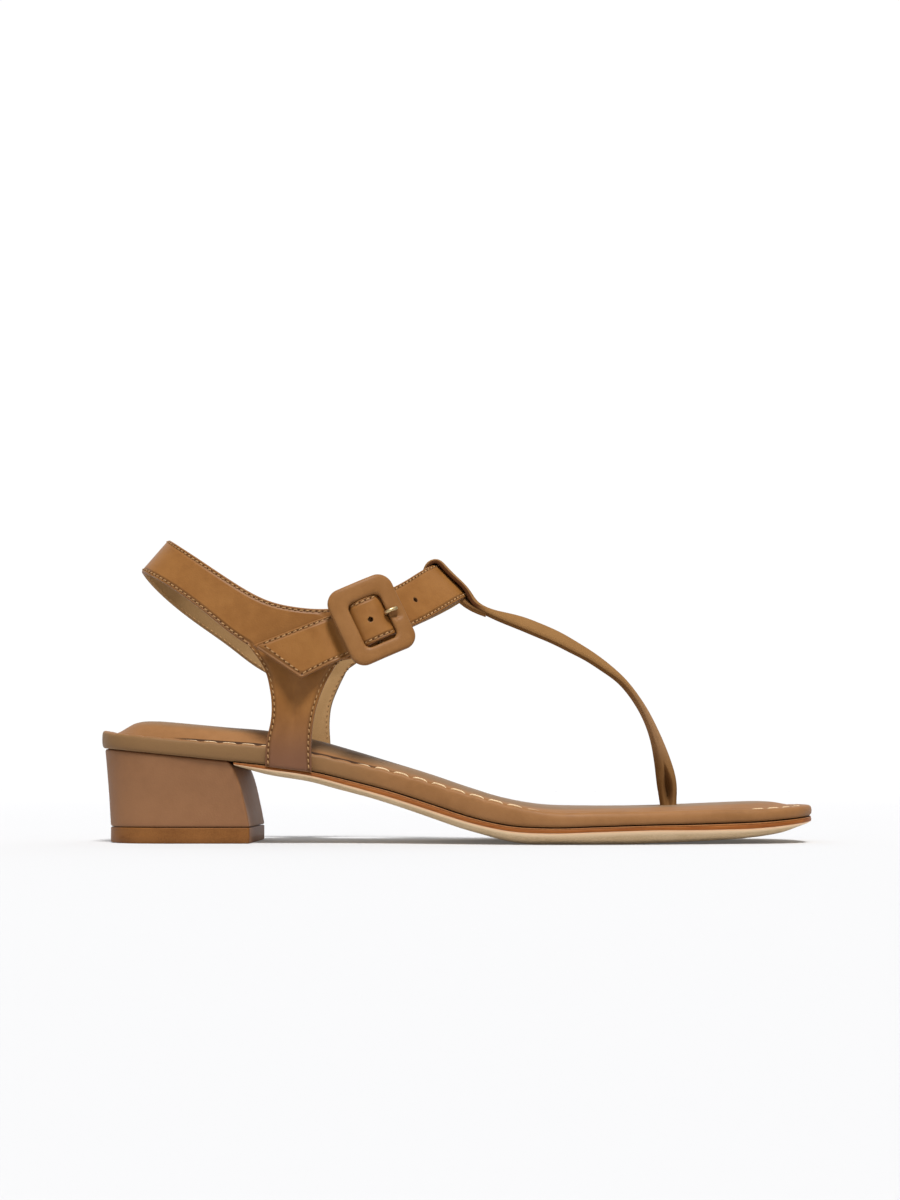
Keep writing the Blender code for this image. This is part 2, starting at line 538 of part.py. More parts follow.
def make_prong():
    """The prong comes up through the strap's hole and rests on the buckle's front bar."""
    top = BUCKLE_THICK / 2 + PRONG_RADIUS + 0.2
    path = along([(PRONG_AT - 0.1, 0.0, -4.4), (PRONG_AT, 0.0, -1.0), (PRONG_AT + 0.1, 0.0, top - 0.9),
                  (PRONG_AT + 1.1, 0.0, top + 0.1), (PRONG_END, 0.0, top)], [3, 3, 3, 3])
    way = unit(np.gradient(path, axis=0))
    side = np.array([0.0, 1.0, 0.0])
    angle = np.linspace(0.0, 2 * math.pi, 10, endpoint=False)
    rings = [p + PRONG_RADIUS * (np.cos(angle)[:, None] * side + np.sin(angle)[:, None] * np.cross(w, side))
             for p, w in zip(path, way)]
    return closed_mesh("buckle_prong", on_buckle(np.vstack(rings)), strip_faces(len(rings), 10, True), "gold")


for old in list(bpy.data.objects):
    bpy.data.objects.remove(old)
parts = bpy.data.collections.new("heeled_sandal")
cutters = bpy.data.collections.new("cutters")
for collection in (parts, cutters):
    bpy.context.scene.collection.children.link(collection)
materials = {name: material(name) for name in COLOURS}
make_footbed()
make_outsole()
make_heel()
make_lift()
make_upper()
make_buckle()
make_prong()
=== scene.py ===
"""Looks of the heeled sandal: straps with edge stitching, a padded stitched footbed, a burnished sole.

The frame has +X to the toe, +Z up and the outer side of the foot on -Y. Sizes are in millimetres, and meshes
are in metres. The tables are the sandal's own sections, close to those of its solids.
"""

import math

import bmesh
import bpy
import numpy as np
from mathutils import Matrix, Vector


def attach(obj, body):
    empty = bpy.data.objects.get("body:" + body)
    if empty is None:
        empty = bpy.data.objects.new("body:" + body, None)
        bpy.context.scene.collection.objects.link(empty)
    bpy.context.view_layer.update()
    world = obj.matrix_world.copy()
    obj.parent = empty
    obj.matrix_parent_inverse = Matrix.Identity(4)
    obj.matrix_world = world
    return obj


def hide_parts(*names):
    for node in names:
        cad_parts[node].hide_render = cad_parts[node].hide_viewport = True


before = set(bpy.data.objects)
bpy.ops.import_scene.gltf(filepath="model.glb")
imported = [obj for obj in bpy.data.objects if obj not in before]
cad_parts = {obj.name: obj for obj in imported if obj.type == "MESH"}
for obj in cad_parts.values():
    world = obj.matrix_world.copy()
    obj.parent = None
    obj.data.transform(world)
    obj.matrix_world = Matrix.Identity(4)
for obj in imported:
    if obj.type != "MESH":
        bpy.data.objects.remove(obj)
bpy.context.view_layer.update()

MM = 0.001
GAP = 0.3  # between stacked pieces
CLOSED_INSET = 12.0  # how far the flat ends of the heel and the lift close in before they are filled
DIRECTION_STEP = 0.5  # how far ahead and behind a strap's direction is taken

# The photograph's frame and the camera that took it.
IMAGE_WIDTH, IMAGE_HEIGHT = 900, 1200
FOCAL_PX, AXIS_U, AXIS_V = 1836.0, 457.0, 785.0
CAMERA_BACK, CAMERA_HEIGHT = 650.0, 20.0
SENSOR = 36.0
CLIP_NEAR, CLIP_FAR = 0.01, 50.0

# Plan and side view of the footbed.
PLAN = [  # x, outer, inner
    (-125.0, 27.5, 27.5), (-98.0, 28.2, 28.0), (-80.0, 28.6, 27.8), (-60.0, 28.7, 26.6), (-40.0, 29.0, 25.2),
    (-20.0, 30.6, 25.6), (0.0, 34.6, 29.2), (20.0, 39.4, 35.2), (38.0, 41.5, 40.0), (52.0, 40.6, 41.5),
    (66.0, 38.2, 40.8), (80.0, 34.6, 38.2), (98.0, 30.2, 34.2), (112.0, 27.6, 31.4), (125.0, 26.0, 29.6)]
HEEL_END_X, HEEL_END_LENGTH, HEEL_ROUND = -98.0, 26.5, 2.5
TOE_END_X, TOE_END_LENGTH, TOE_ROUND = 98.0, 26.5, 2.8
END_FINE, INSET_MOST = 801, 0.9
SIDE_COUNT, END_COUNT, FOOTBED_ROWS = 310, 140, 44
FOOTBED = [  # x, underside z, rim height, padding rise
    (-125.0, 33.00, 6.5, 5.0), (-118.0, 32.29, 5.6, 5.3), (-100.0, 30.45, 5.6, 6.0),
    (-80.0, 28.41, 6.0, 5.8), (-65.0, 26.88, 6.4, 5.6), (-49.0, 24.70, 6.0, 5.0), (-36.2, 21.70, 6.1, 4.3),
    (-22.7, 18.20, 6.5, 3.3), (-9.1, 13.90, 7.0, 2.9), (4.4, 9.50, 7.3, 2.4), (17.7, 6.60, 6.7, 2.0),
    (31.0, 5.90, 5.2, 2.0), (47.0, 6.30, 4.8, 1.5), (61.0, 6.70, 4.5, 1.4), (87.0, 7.20, 4.6, 1.7),
    (105.0, 7.90, 4.1, 2.4), (119.0, 9.10, 3.8, 2.3), (125.0, 9.80, 3.5, 2.1)]
FOOTBED_SECTION = [  # inset from the edge, share of the rim's height, share of the padding's rise
    (8.0, 0.0, 0.0), (1.5, 0.0, 0.0), (0.5, 0.05, 0.0), (0.12, 0.18, 0.0), (0.0, 0.45, 0.0),
    (0.08, 0.75, 0.0), (0.4, 0.92, 0.0), (1.3, 1.0, 0.0), (2.6, 1.0, 0.0), (3.9, 0.83, 0.0),
    (5.2, 0.97, 0.05), (6.6, 1.0, 0.17), (8.8, 1.0, 0.45), (11.4, 1.0, 0.74), (15.0, 1.0, 0.92),
    (20.0, 1.0, 0.985)]
PAD_SHARES = (0.15, 0.3, 0.45, 0.6, 0.75, 0.88, 1.0)  # rings from the section's end to the middle line
POST_HOLLOW, POST_HOLLOW_REACH, POST_HOLLOW_RINGS = 0.6, 7.0, 13

# The footbed's rim.
RIM_FORM = [  # x, breadth of the rim as a share, extra rounding of its upper edge
    (-125.0, 1.0, 0.0), (5.0, 1.0, 0.0), (35.0, 1.0, 0.9), (92.0, 1.0, 1.0), (104.0, 1.1, 0.9),
    (118.0, 1.22, 0.5), (125.0, 1.25, 0.4)]
RIM_BREADTH = (2.6, 6.4)  # insets between which the rim's breadth comes in
RIM_TOP = 0.6  # the share of the rim's height above which it puckers
RIM_PAINTED_SHADES = [  # x, painted shade in the crease inside the rim, painted shade on the rim's side, reach of the pad's painted shade
    (-125.0, 0.2, 1.0, 0.0), (-104.0, 0.2, 1.0, 0.0), (-92.0, 0.75, 1.0, 0.0), (-64.0, 1.0, 1.0, 0.0),
    (-48.0, 1.0, 0.7, 0.45), (-36.0, 0.9, 0.5, 0.45), (-22.0, 0.5, 0.1, 0.45), (-8.0, 0.2, 0.0, 0.45),
    (20.0, 0.0, 0.0, 0.45), (45.0, 0.0, 0.0, 0.2), (70.0, 0.0, 0.0, 0.0), (125.0, 0.0, 0.0, 0.0)]
# Where the painted shade lies: on the rim's side by share of its height and inset, in the crease inside the
# rim by inset.
RIM_SIDE_SHADE_SHARES, RIM_SIDE_SHADE_INSET = (0.88, 1.0), 1.3
RIM_CREASE_SHADE_INSETS = (4.5, 5.2, 5.7, 6.6)

# The footbed's rim stitch: long stitches of thick thread, each on a pucker of the wrapped leather.
RIM_STITCH_PITCH, RIM_STITCH_LENGTH, RIM_STITCH_SHIFT = 6.5, 5.6, -2.3
RIM_STITCH_POINTS, RIM_STITCH_DIP = 11, 0.75
RIM_THREAD_RADIUS, RIM_THREAD_AROUND = 0.34, 8
PUCKER_RISE, PUCKER_REACH, PUCKER_INSET, PUCKER_LEVEL = 0.9, 1.5, 2.0, 0.9
RIM_STITCHING = [  # x, inset of the stitches, rise of the thread over the rim
    (-125.0, 4.2, -0.45), (-98.0, 4.0, -0.42), (-90.0, 3.2, -0.22), (-72.0, 3.0, -0.12), (-48.0, 2.4, -0.35),
    (-34.0, 2.2, -0.3), (-26.0, 2.0, 0.1), (18.0, 2.0, 0.1), (24.0, 2.6, -0.2), (38.0, 4.2, -0.44),
    (97.0, 4.2, -0.44), (104.0, 2.9, -0.08), (114.0, 2.9, -0.08), (118.0, 4.2, -0.4), (125.0, 4.4, -0.4)]
PUCKERS = [  # x, share of the pucker's rise
    (-125.0, 0.35), (-100.0, 0.5), (-60.0, 0.6), (-35.0, 0.9), (-5.0, 1.0), (15.0, 0.7), (30.0, 0.3),
    (60.0, 0.12), (110.0, 0.15), (125.0, 0.2)]

# Outsole, heel block and lift.
OUTSOLE = [  # x, edge height, tread z
    (-75.7, 0.7, 26.5), (-66.0, 1.3, 23.8), (-49.6, 1.6, 20.9), (-40.0, 1.9, 18.3), (-29.8, 2.2, 15.6),
    (-19.5, 2.4, 12.4), (-9.2, 2.4, 8.9), (1.0, 2.2, 5.4), (8.0, 2.1, 3.4), (15.0, 2.0, 1.5),
    (21.5, 2.0, 0.3), (27.0, 2.0, 0.0), (42.0, 1.9, 0.0), (58.0, 1.9, 0.0), (66.0, 1.9, 0.3),
    (76.0, 2.1, 0.6), (89.0, 2.3, 1.2), (99.0, 2.4, 1.8), (106.0, 2.3, 2.6), (113.0, 2.1, 3.8),
    (118.0, 2.0, 5.2), (125.0, 1.8, 6.6)]
SOLE_SECTION = [  # inset from the edge, share of the edge's height downward, share of the drop to the tread
    (8.0, 0.0, 0.0), (1.3, 0.0, 0.0), (0.55, 0.03, 0.0), (0.3, 0.1, 0.0), (0.26, 0.2, 0.0),
    (0.4, 0.28, 0.0), (0.16, 0.36, 0.0), (0.1, 0.66, 0.0), (0.2, 0.93, 0.0), (0.55, 1.0, 0.06),
    (1.4, 1.0, 0.34), (3.6, 1.0, 0.70), (6.5, 1.0, 0.92), (10.0, 1.0, 1.0), (14.0, 1.0, 1.0)]
SOLE_SIDE_COUNT, SOLE_END_COUNT, SOLE_ROWS = 250, 120, 46
SOLE_RAISED_INSET = 4.0  # the sole's hidden top meets the footbed this far inside its edge
HEEL_LEVELS = [  # share of the height, back x, breast x, half breadth
    (0.0, -121.6, -70.7, 24.8), (0.2, -121.9, -71.5, 25.1), (0.45, -122.3, -72.7, 25.5),
    (0.7, -122.8, -74.1, 26.2), (0.88, -123.2, -75.6, 26.7), (1.0, -123.5, -77.3, 27.1)]
HEEL_MIDDLE_X, HEEL_BACK_ROUND, HEEL_CORNER = -97.0, 2.5, 0.9
HEEL_BACK_POINTS, HEEL_SIDE_POINTS, HEEL_CORNER_POINTS, HEEL_BREAST_POINTS = 160, 12, 12, 24
LIFT_HEIGHT, LIFT_BEVEL = 5.4, 0.5

# The straps that go round the foot, one strip, with the quarters that hang from it.
STRIP = [  # name, lower edge x, y, z, upper edge x, y, z
    ("buckle_bar", -18.5, -26.4, 68.2, -24.5, -25.4, 82.6),
    ("outer_front", -40.0, -30.3, 61.8, -44.5, -29.2, 79.6),
    ("outer_middle", -56.0, -30.4, 61.8, -54.5, -29.5, 80.2),
    ("outer_rear", -70.4, -29.4, 67.1, -64.5, -28.4, 82.7),
    ("outer_band", -83.5, -26.1, 76.8, -77.0, -25.2, 89.7),
    ("outer_bend", -97.5, -19.8, 87.2, -89.5, -19.6, 98.2),
    ("outer_turn", -107.6, -10.5, 93.2, -98.0, -11.0, 104.0),
    ("heel_back", -111.0, 0.0, 94.3, -101.0, 0.0, 105.8),
    ("inner_turn", -107.8, 11.5, 89.6, -97.8, 11.8, 101.4),
    ("inner_bend", -97.5, 21.8, 80.6, -87.8, 21.0, 93.5),
    ("inner_band", -83.0, 27.0, 70.1, -74.0, 26.2, 83.4),
    ("inner_rear", -70.5, 28.8, 61.3, -62.0, 28.1, 77.0),
    ("inner_middle", -55.5, 29.2, 57.3, -53.0, 28.4, 75.6),
    ("inner_front", -40.5, 28.6, 62.6, -43.5, 27.9, 78.4),
    ("inner_rise", -27.0, 25.8, 72.3, -31.5, 25.0, 84.9),
    ("inner_instep", -11.0, 18.4, 79.8, -19.5, 17.8, 91.6),
    ("instep_inner", 0.0, 8.5, 84.6, -10.4, 8.3, 96.2),
    ("instep_ridge", 3.6, -0.5, 86.3, -7.6, -0.5, 97.5),
    ("instep_outer", 0.3, -9.0, 84.0, -10.6, -8.6, 95.8),
    ("outer_instep", -8.0, -19.8, 78.0, -17.2, -18.8, 90.6),
    ("buckle_front", -20.0, -30.6, 71.0, -27.0, -29.1, 84.4),
    ("buckle_rear", -33.0, -33.2, 64.9, -38.5, -32.2, 79.3),
    ("outer_end", -42.5, -33.7, 60.4, -51.0, -32.9, 74.0),
    ("free_end", -52.1, -34.6, 55.6, -68.8, -34.3, 66.8)]
STRIP_STEP, STRIP_ACROSS, STRAP_THICK = 1.1, 13, 2.0
OUTER_QUARTER = [  # share of the drop, front x, y, z, rear x, y, z
    (0.15, -43.8, -30.3, 55.4, -65.2, -30.1, 59.6), (0.32, -46.4, -30.1, 49.4, -63.1, -30.0, 51.8),
    (0.52, -48.3, -30.0, 42.4, -62.7, -29.9, 43.6), (0.76, -49.1, -30.2, 33.4, -64.5, -30.1, 34.2),
    (1.0, -48.9, -30.3, 24.2, -64.8, -30.1, 26.2)]
INNER_QUARTER = [  # share of the drop, rear x, y, z, front x, y, z
    (0.15, -65.0, 28.9, 54.4, -43.6, 28.8, 56.4), (0.32, -62.4, 28.8, 48.4, -46.1, 28.6, 50.2),
    (0.52, -61.8, 28.5, 42.0, -47.0, 28.1, 43.4), (0.76, -62.3, 28.2, 34.0, -46.6, 27.4, 34.0),
    (1.0, -62.5, 28.2, 26.0, -46.5, 27.2, 24.0)]
# Each quarter hangs from the strip between two of its rows.
QUARTERS = ((OUTER_QUARTER, "outer_front", "outer_rear"), (INNER_QUARTER, "inner_rear", "inner_front"))
QUARTER_ROWS, EDGE_BATCHES = 30, 24
CREASE_DEPTH, CREASE_REACH, CREASE_SKEW = 2.0, 0.22, 0.55
STITCH_PITCH, STITCH_LENGTH, STITCH_INSET = 2.0, 1.4, 1.05
STITCH_WIDTH, STITCH_RISE, STITCH_SLANT, STITCH_SINK = 0.46, 0.26, 0.16, 0.02
STITCH_STEPS, STITCH_AROUND = 7, 6
NEEDLE_HOLE, NEEDLE_RISE = 0.36, 0.1
TIP_INSET, TIP_POINTS, TIP_SHARES = 0.45, 24, (0.08, 0.92)

# The thong and its loop round the instep strap.
THONG = [  # x, y, z, breadth, thickness, crown
    (76.0, 9.0, 10.0, 6.2, 5.6, 0.0), (75.8, 9.0, 13.1, 6.4, 5.9, 0.0), (75.2, 8.2, 20.0, 7.2, 7.0, 0.0),
    (73.9, 7.5, 26.9, 7.6, 6.2, 0.0), (72.0, 6.7, 33.5, 8.4, 4.7, 0.2), (69.6, 6.0, 40.1, 9.6, 3.2, 0.4),
    (66.6, 5.3, 46.3, 10.8, 2.5, 0.4), (62.8, 4.6, 52.1, 11.6, 2.3, 0.2), (58.3, 4.0, 57.3, 12.0, 2.3, 0.5),
    (52.9, 3.3, 61.6, 12.0, 2.3, 1.4), (47.2, 2.7, 65.5, 12.0, 2.3, 1.9), (41.2, 2.2, 68.9, 12.0, 2.3, 2.5),
    (35.1, 1.6, 72.1, 12.0, 2.3, 2.9), (28.8, 1.1, 74.8, 12.0, 2.3, 3.0), (22.4, 0.7, 77.3, 12.0, 2.3, 2.7),
    (15.9, 0.3, 79.4, 12.0, 2.2, 1.7), (9.5, 0.0, 81.9, 12.0, 1.8, 1.0), (6.0, 0.0, 84.3, 12.0, 1.5, 1.5),
    (3.5, 0.0, 88.2, 12.0, 1.5, 1.1), (-1.1, 0.0, 93.0, 12.0, 1.5, 1.1), (-5.0, 0.0, 97.0, 12.0, 1.5, 1.1),
    (-7.0, 0.0, 98.6, 12.0, 1.5, 1.0), (-9.6, 0.0, 97.9, 12.0, 1.5, 1.0), (-10.9, 0.0, 95.7, 12.0, 1.4, 1.0)]
POST_SLIT = (1.2, 2.4, 3.8, 0.5)  # depth of the slit on the near side, at the thong's first rows
LOOP_BACK = [  # x, y, z, breadth, thickness, crown
    (-9.4, 0.0, 97.9, 11.4, 1.8, 0.0), (-9.9, 0.0, 96.0, 11.4, 1.8, -0.8),
    (-4.4, 0.0, 91.4, 11.4, 1.8, -1.6), (1.6, 0.0, 85.8, 11.4, 1.8, -1.6),
    (4.7, 0.0, 83.2, 11.4, 1.8, -0.8), (10.4, 0.0, 80.6, 11.4, 1.8, -0.3)]
THONG_STEP, THONG_AROUND = 0.9, 120
THONG_ROUND, THONG_SQUARER, THONG_THICK, THONG_THIN = 2.4, 1.2, 4.5, 2.5
SLIT_REACH, SLIT_LEAST, SLIT_SPREAD = 0.75, 0.3, 3.0
# The thin loop's dark cut edge, and the painted shade that darkens the thong's underside.
CUT_FROM, CUT_SPAN, CUT_THICK, CUT_FADE = 0.82, 0.08, 1.9, 0.3
UNDERSIDE_SHADE, UNDERSIDE_SHADE_SLOPE, UNDERSIDE_SHADE_MOST = 0.5, 0.9, 0.74

# The buckle, and the strap in its window.
BUCKLE_LENGTH, BUCKLE_BREADTH, BUCKLE_THICK = 23.6, 27.4, 3.0
WINDOW_LENGTH, WINDOW_BREADTH, WINDOW_SHIFT = 11.8, 16.4, -0.6
BUCKLE_CORNER, WINDOW_CORNER = 5.0, 2.2
FRAME_AROUND, FRAME_ROUND = 36, 3.8
CORNER_STEPS, SIDE_STEPS = 14, 16
BUCKLE_X, BUCKLE_CLEAR, BUCKLE_BEND, BUCKLE_BEND_REAR = -29.0, 0.4, 0.012, 0.003
BUCKLE_RISE = STRAP_THICK / 2 + BUCKLE_CLEAR + BUCKLE_THICK / 2
NOTCH_AT, NOTCH_REACH, NOTCH_DEPTH = (8.4, -2.1), (2.0, 1.3), 1.3
BAR_RADIUS, BAR_BEYOND, BAR_TURN, BAR_STEPS = 0.7, 1.0, 1.2, 5
PRONG_RADIUS, PRONG_AT, PRONG_END, PRONG_CLEAR = 0.7, 5.3, 8.8, 0.05
PIN_AROUND, PIN_DOME = 20, (0.45, 0.8, 1.0)
HOLE_RADIUS, HOLE_PLACES = 0.85, (-0.5, 5.2, 11.0, 19.4)
HOLE_AROUND, HOLE_CUT = 24, 5.0
STRAP_SWELL, STRAP_SWELL_REACH = 0.1, 7.0
STRAP_BULGE, STRAP_BULGE_REACH = 2.9, 6.3
STRAP_DIP, STRAP_DIP_AT, STRAP_DIP_REACH = 1.9, -12.0, 3.6

# Colours and places of the leathers' tones, painted shade and painted light among them: heights over the
# floor in metres, the seam's place in mm.
# Painted shade: the quarters darker and greyer below these heights, at their feet.
QUARTER_FOOT_SHADE, QUARTER_FOOT_SHADE_HEIGHTS = (0.160, 0.070, 0.035), (0.026, 0.050)
# Painted light: the thong paler between these heights.
PAINTED_LIGHT_FROM, PAINTED_LIGHT_TO = (0.025, 0.036), (0.043, 0.060)
SEAM_FROM, SEAM_TO, SEAM_PRESS = 0.25, 2.1, 0.4
# Painted shade on the rim's side and in the crease inside it; the loop's cut edge is dark.
RIM_SIDE_SHADE, RIM_CREASE_SHADE, CUT_DARK = (0.205, 0.112, 0.047), (0.055, 0.024, 0.010), (0.070, 0.026, 0.010)


def between(table, x):
    """The columns of a table at x: cubic curves through its rows, level where two rows agree."""
    rows = np.array(table, float)
    knots, values = rows[:, 0], rows[:, 1:]
    slopes = np.gradient(values, knots, axis=0)
    flat = np.diff(values, axis=0) == 0.0
    slopes[:-1][flat] = 0.0
    slopes[1:][flat] = 0.0
    x = np.clip(np.atleast_1d(np.asarray(x, float)), knots[0], knots[-1])
    i = np.clip(np.searchsorted(knots, x, side="right") - 1, 0, len(knots) - 2)
    h = (knots[i + 1] - knots[i])[:, None]
    t = ((x - knots[i])[:, None]) / h
    return ((2 * t**3 - 3 * t**2 + 1) * values[i] + (t**3 - 2 * t**2 + t) * h * slopes[i]
            + (3 * t**2 - 2 * t**3) * values[i + 1] + (t**3 - t**2) * h * slopes[i + 1])


def section_through(rows, count):
    """A section's columns at count places, by smooth curves through its rows in their order."""
    return between([(k, *row) for k, row in enumerate(rows)], np.linspace(0, len(rows) - 1, count))


def along(points, steps):
    """A natural cubic spline through points, with the given number of steps in each stretch."""
    points = np.array(points, float)
    knots = run_length(points[:, :3])
    count = len(knots)
    h = np.diff(knots)
    system = np.zeros((count, count))
    right = np.zeros((count, points.shape[1]))
    system[0, 0] = system[-1, -1] = 1.0
    for i in range(1, count - 1):
        system[i, i - 1:i + 2] = h[i - 1], 2.0 * (h[i - 1] + h[i]), h[i]
        right[i] = 6.0 * ((points[i + 1] - points[i]) / h[i] - (points[i] - points[i - 1]) / h[i - 1])
    bend = np.linalg.solve(system, right)
    curve = []
    for i in range(count - 1):
        t = np.linspace(0.0, h[i], steps[i] + 1)[:-1, None]
        a, b = (h[i] - t) / h[i], t / h[i]
        curve.append(a * points[i] + b * points[i + 1]
                     + ((a**3 - a) * bend[i] + (b**3 - b) * bend[i + 1]) * h[i]**2 / 6.0)
    return np.vstack(curve + [points[-1:]])


def steps_of(points, step):
    """How many steps each stretch between points takes, two at the least."""
    return np.maximum(2, np.round(np.diff(run_length(np.asarray(points, float))) / step)).astype(int)


def unit(v):
    """Directions of length one."""
    return v / np.maximum(np.linalg.norm(v, axis=-1, keepdims=True), 1e-12)


def run_length(points):
    """The length of a run of points from its start up to each of them."""
    return np.concatenate([[0.0], np.cumsum(np.linalg.norm(np.diff(points, axis=0), axis=1))])


def read_at(places, run, columns):
    """Columns of a run of points, read at places along its length."""
    return np.column_stack([np.interp(places, run, columns[:, k]) for k in range(columns.shape[1])])


def bell(x, middle, reach):
    """A bell curve: 1 at the middle, and about a third at its reach."""
    return np.exp(-((x - middle) / reach)**2)


def superellipse(angle, roundness):
    """Points at angles on a superellipse with half-axes of 1: a circle at roundness 2, squarer above."""
    c, s = np.cos(angle), np.sin(angle)
    reach = (np.abs(c)**roundness + np.abs(s)**roundness)**(-1.0 / roundness)
    return c * reach, s * reach


def full_turn(count):
    """Angles once round, in equal steps."""
    return np.linspace(0.0, 2 * math.pi, count, endpoint=False)


def grid_faces(rows, columns, round_rows=False, round_columns=False):
    """Quads of a grid of points, as an array of vertex numbers."""
    r = np.arange(rows if round_rows else rows - 1)[:, None]
    c = np.arange(columns if round_columns else columns - 1)[None, :]
    r2, c2 = (r + 1) % rows, (c + 1) % columns
    corners = [r * columns + c, r * columns + c2, r2 * columns + c2, r2 * columns + c]
    return np.stack(corners, axis=-1).reshape(-1, 4)


def skins(grids):
    """Points and quads of skins that close round, from one grid of points each: a row for every ring."""
    grids = np.asarray(grids)
    count, rows, around = grids.shape[:3]
    one = grid_faces(rows, around, round_columns=True)
    shift = np.arange(count)[:, None, None] * rows * around
    return grids.reshape(-1, 3), (one[None] + shift).reshape(-1, 4)


def put_mesh(name, verts, faces, finishes, attributes=None, close=False, sharp=None):
    """An object at the origin from points in millimetres and quads. Coinciding points are joined."""
    mesh = bpy.data.meshes.new(name)
    mesh.from_pydata((np.asarray(verts, float) * MM).tolist(), [], np.asarray(faces).tolist())
    for key, values in (attributes or {}).items():
        mark = mesh.attributes.new(key, "FLOAT", "POINT")
        mark.data.foreach_set("value", np.asarray(values, np.float32).ravel())
    bm = bmesh.new()
    bm.from_mesh(mesh)
    bmesh.ops.remove_doubles(bm, verts=bm.verts, dist=0.000002)
    bmesh.ops.dissolve_degenerate(bm, edges=bm.edges, dist=0.000001)
    if close:
        bmesh.ops.holes_fill(bm, edges=[e for e in bm.edges if e.is_boundary])
        bmesh.ops.recalc_face_normals(bm, faces=bm.faces)
    bm.to_mesh(mesh)
    bm.free()
    mesh.shade_smooth()
    if sharp:
        mesh.set_sharp_from_angle(angle=math.radians(sharp))
    for finish in finishes:
        mesh.materials.append(finish)
    made = bpy.data.objects.new(name, mesh)
    bpy.context.scene.collection.objects.link(made)
    return made


def settle(made):
    """Put the modifiers' result into the object's own mesh."""
    graph = bpy.context.evaluated_depsgraph_get()
    mesh = bpy.data.meshes.new_from_object(made.evaluated_get(graph))
    made.modifiers.clear()
    made.data = mesh
    mesh.shade_smooth()
    return made


def thicken(made, thickness):
    """A leather sheet from an open surface: face, lining and edge, with softly rounded edges."""
    shell = made.modifiers.new("wall", "SOLIDIFY")
    shell.thickness, shell.offset, shell.use_even_offset = thickness * MM, 0.0, True
    shell.material_offset, shell.material_offset_rim = 1, 2
    soft = made.modifiers.new("soft", "SUBSURF")
    soft.levels = soft.render_levels = 1
    return settle(made)


def wear(made, slot, *nodes):
    """The piece rides on the sandal's one body and stands for its solids. The finish slot it is given is not
    used.
    """
    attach(made, "root")
    if nodes:
        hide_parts(*nodes)


class Wire:
    """A shader socket whose sums and products add their Math nodes."""

    def __init__(self, finish, socket):
        self.finish, self.socket = finish, socket

    def math(self, operation, *values):
        """A Math node of the same finish, with values or wires on its inputs."""
        return self.finish.node("ShaderNodeMath", {"operation": operation}, dict(enumerate(values)))

    def __add__(self, other):
        return self.math("ADD", self, other)

    def __radd__(self, other):
        return self.math("ADD", other, self)

    def __sub__(self, other):
        return self.math("SUBTRACT", self, other)

    def __rsub__(self, other):
        return self.math("SUBTRACT", other, self)

    def __mul__(self, other):
        return self.math("MULTIPLY", self, other)


class Finish:
    """A material with one Principled shader, whose nodes are all made by one method."""

    def __init__(self, name, **sockets):
        self.material = bpy.data.materials.new(name)
        self.material.use_nodes = True
        self.tree = self.material.node_tree
        self.shader = self.tree.nodes["Principled BSDF"]
        self.set(**sockets)
        self.place = self.node("ShaderNodeTexCoord", output="Object")

    def feed(self, socket, value):
        """Link a wire to a socket, or set a plain value on it."""
        if isinstance(value, Wire):
            self.tree.links.new(value.socket, socket)
        elif isinstance(value, (tuple, list)) and len(value) == 3 and socket.type == "RGBA":
            socket.default_value = (*value, 1.0)
        else:
            socket.default_value = value

    def node(self, kind, settings=None, inputs=None, output=0):
        """Make one node, and give back a wire from its output."""
        made = self.tree.nodes.new(kind)
        for key, value in (settings or {}).items():
            setattr(made, key, value)
        for key, value in (inputs or {}).items():
            self.feed(made.inputs[key], value)
        return Wire(self, made.outputs[output])

    def set(self, **sockets):
        """Feed the shader's inputs, named in small letters with underscores."""
        for key, value in sockets.items():
            self.feed(self.shader.inputs[key.replace("_", " ").title().replace("Ior", "IOR")], value)

    def noise(self, scale, detail=3.0):
        """Soft noise over the object, from 0 to 1."""
        inputs = {"Vector": self.place, "Scale": scale, "Detail": detail, "Roughness": 0.55}
        return self.node("ShaderNodeTexNoise", {}, inputs, "Fac")

    def cells(self, scale):
        """The distance from the middle of the nearest of many small cells."""
        inputs = {"Vector": self.place, "Scale": scale}
        return self.node("ShaderNodeTexVoronoi", {"feature": "F1"}, inputs, "Distance")

    def height(self):
        """The height over the floor in metres."""
        return self.node("ShaderNodeSeparateXYZ", {}, {0: self.place}, "Z")

    def blend(self, share, first, second):
        """The first colour where the share is 0, the second where it is 1."""
        return self.node("ShaderNodeMix", {"data_type": "RGBA"}, {0: share, 6: first, 7: second}, 2)

    def step(self, value, low, high):
        """0 below low, 1 above high, smooth between."""
        inputs = {"Value": value, "From Min": low, "From Max": high}
        return self.node("ShaderNodeMapRange", {"interpolation_type": "SMOOTHSTEP"}, inputs)

    def mark(self, name):
        """A number that the mesh carries at its points."""
        return self.node("ShaderNodeAttribute", {"attribute_name": name}, {}, "Fac")

    def bump(self, height, depth):
        """Relief of a depth in millimetres."""
        inputs = {"Height": height, "Distance": depth * MM, "Strength": 1.0}
        self.set(normal=self.node("ShaderNodeBump", {}, inputs, "Normal"))


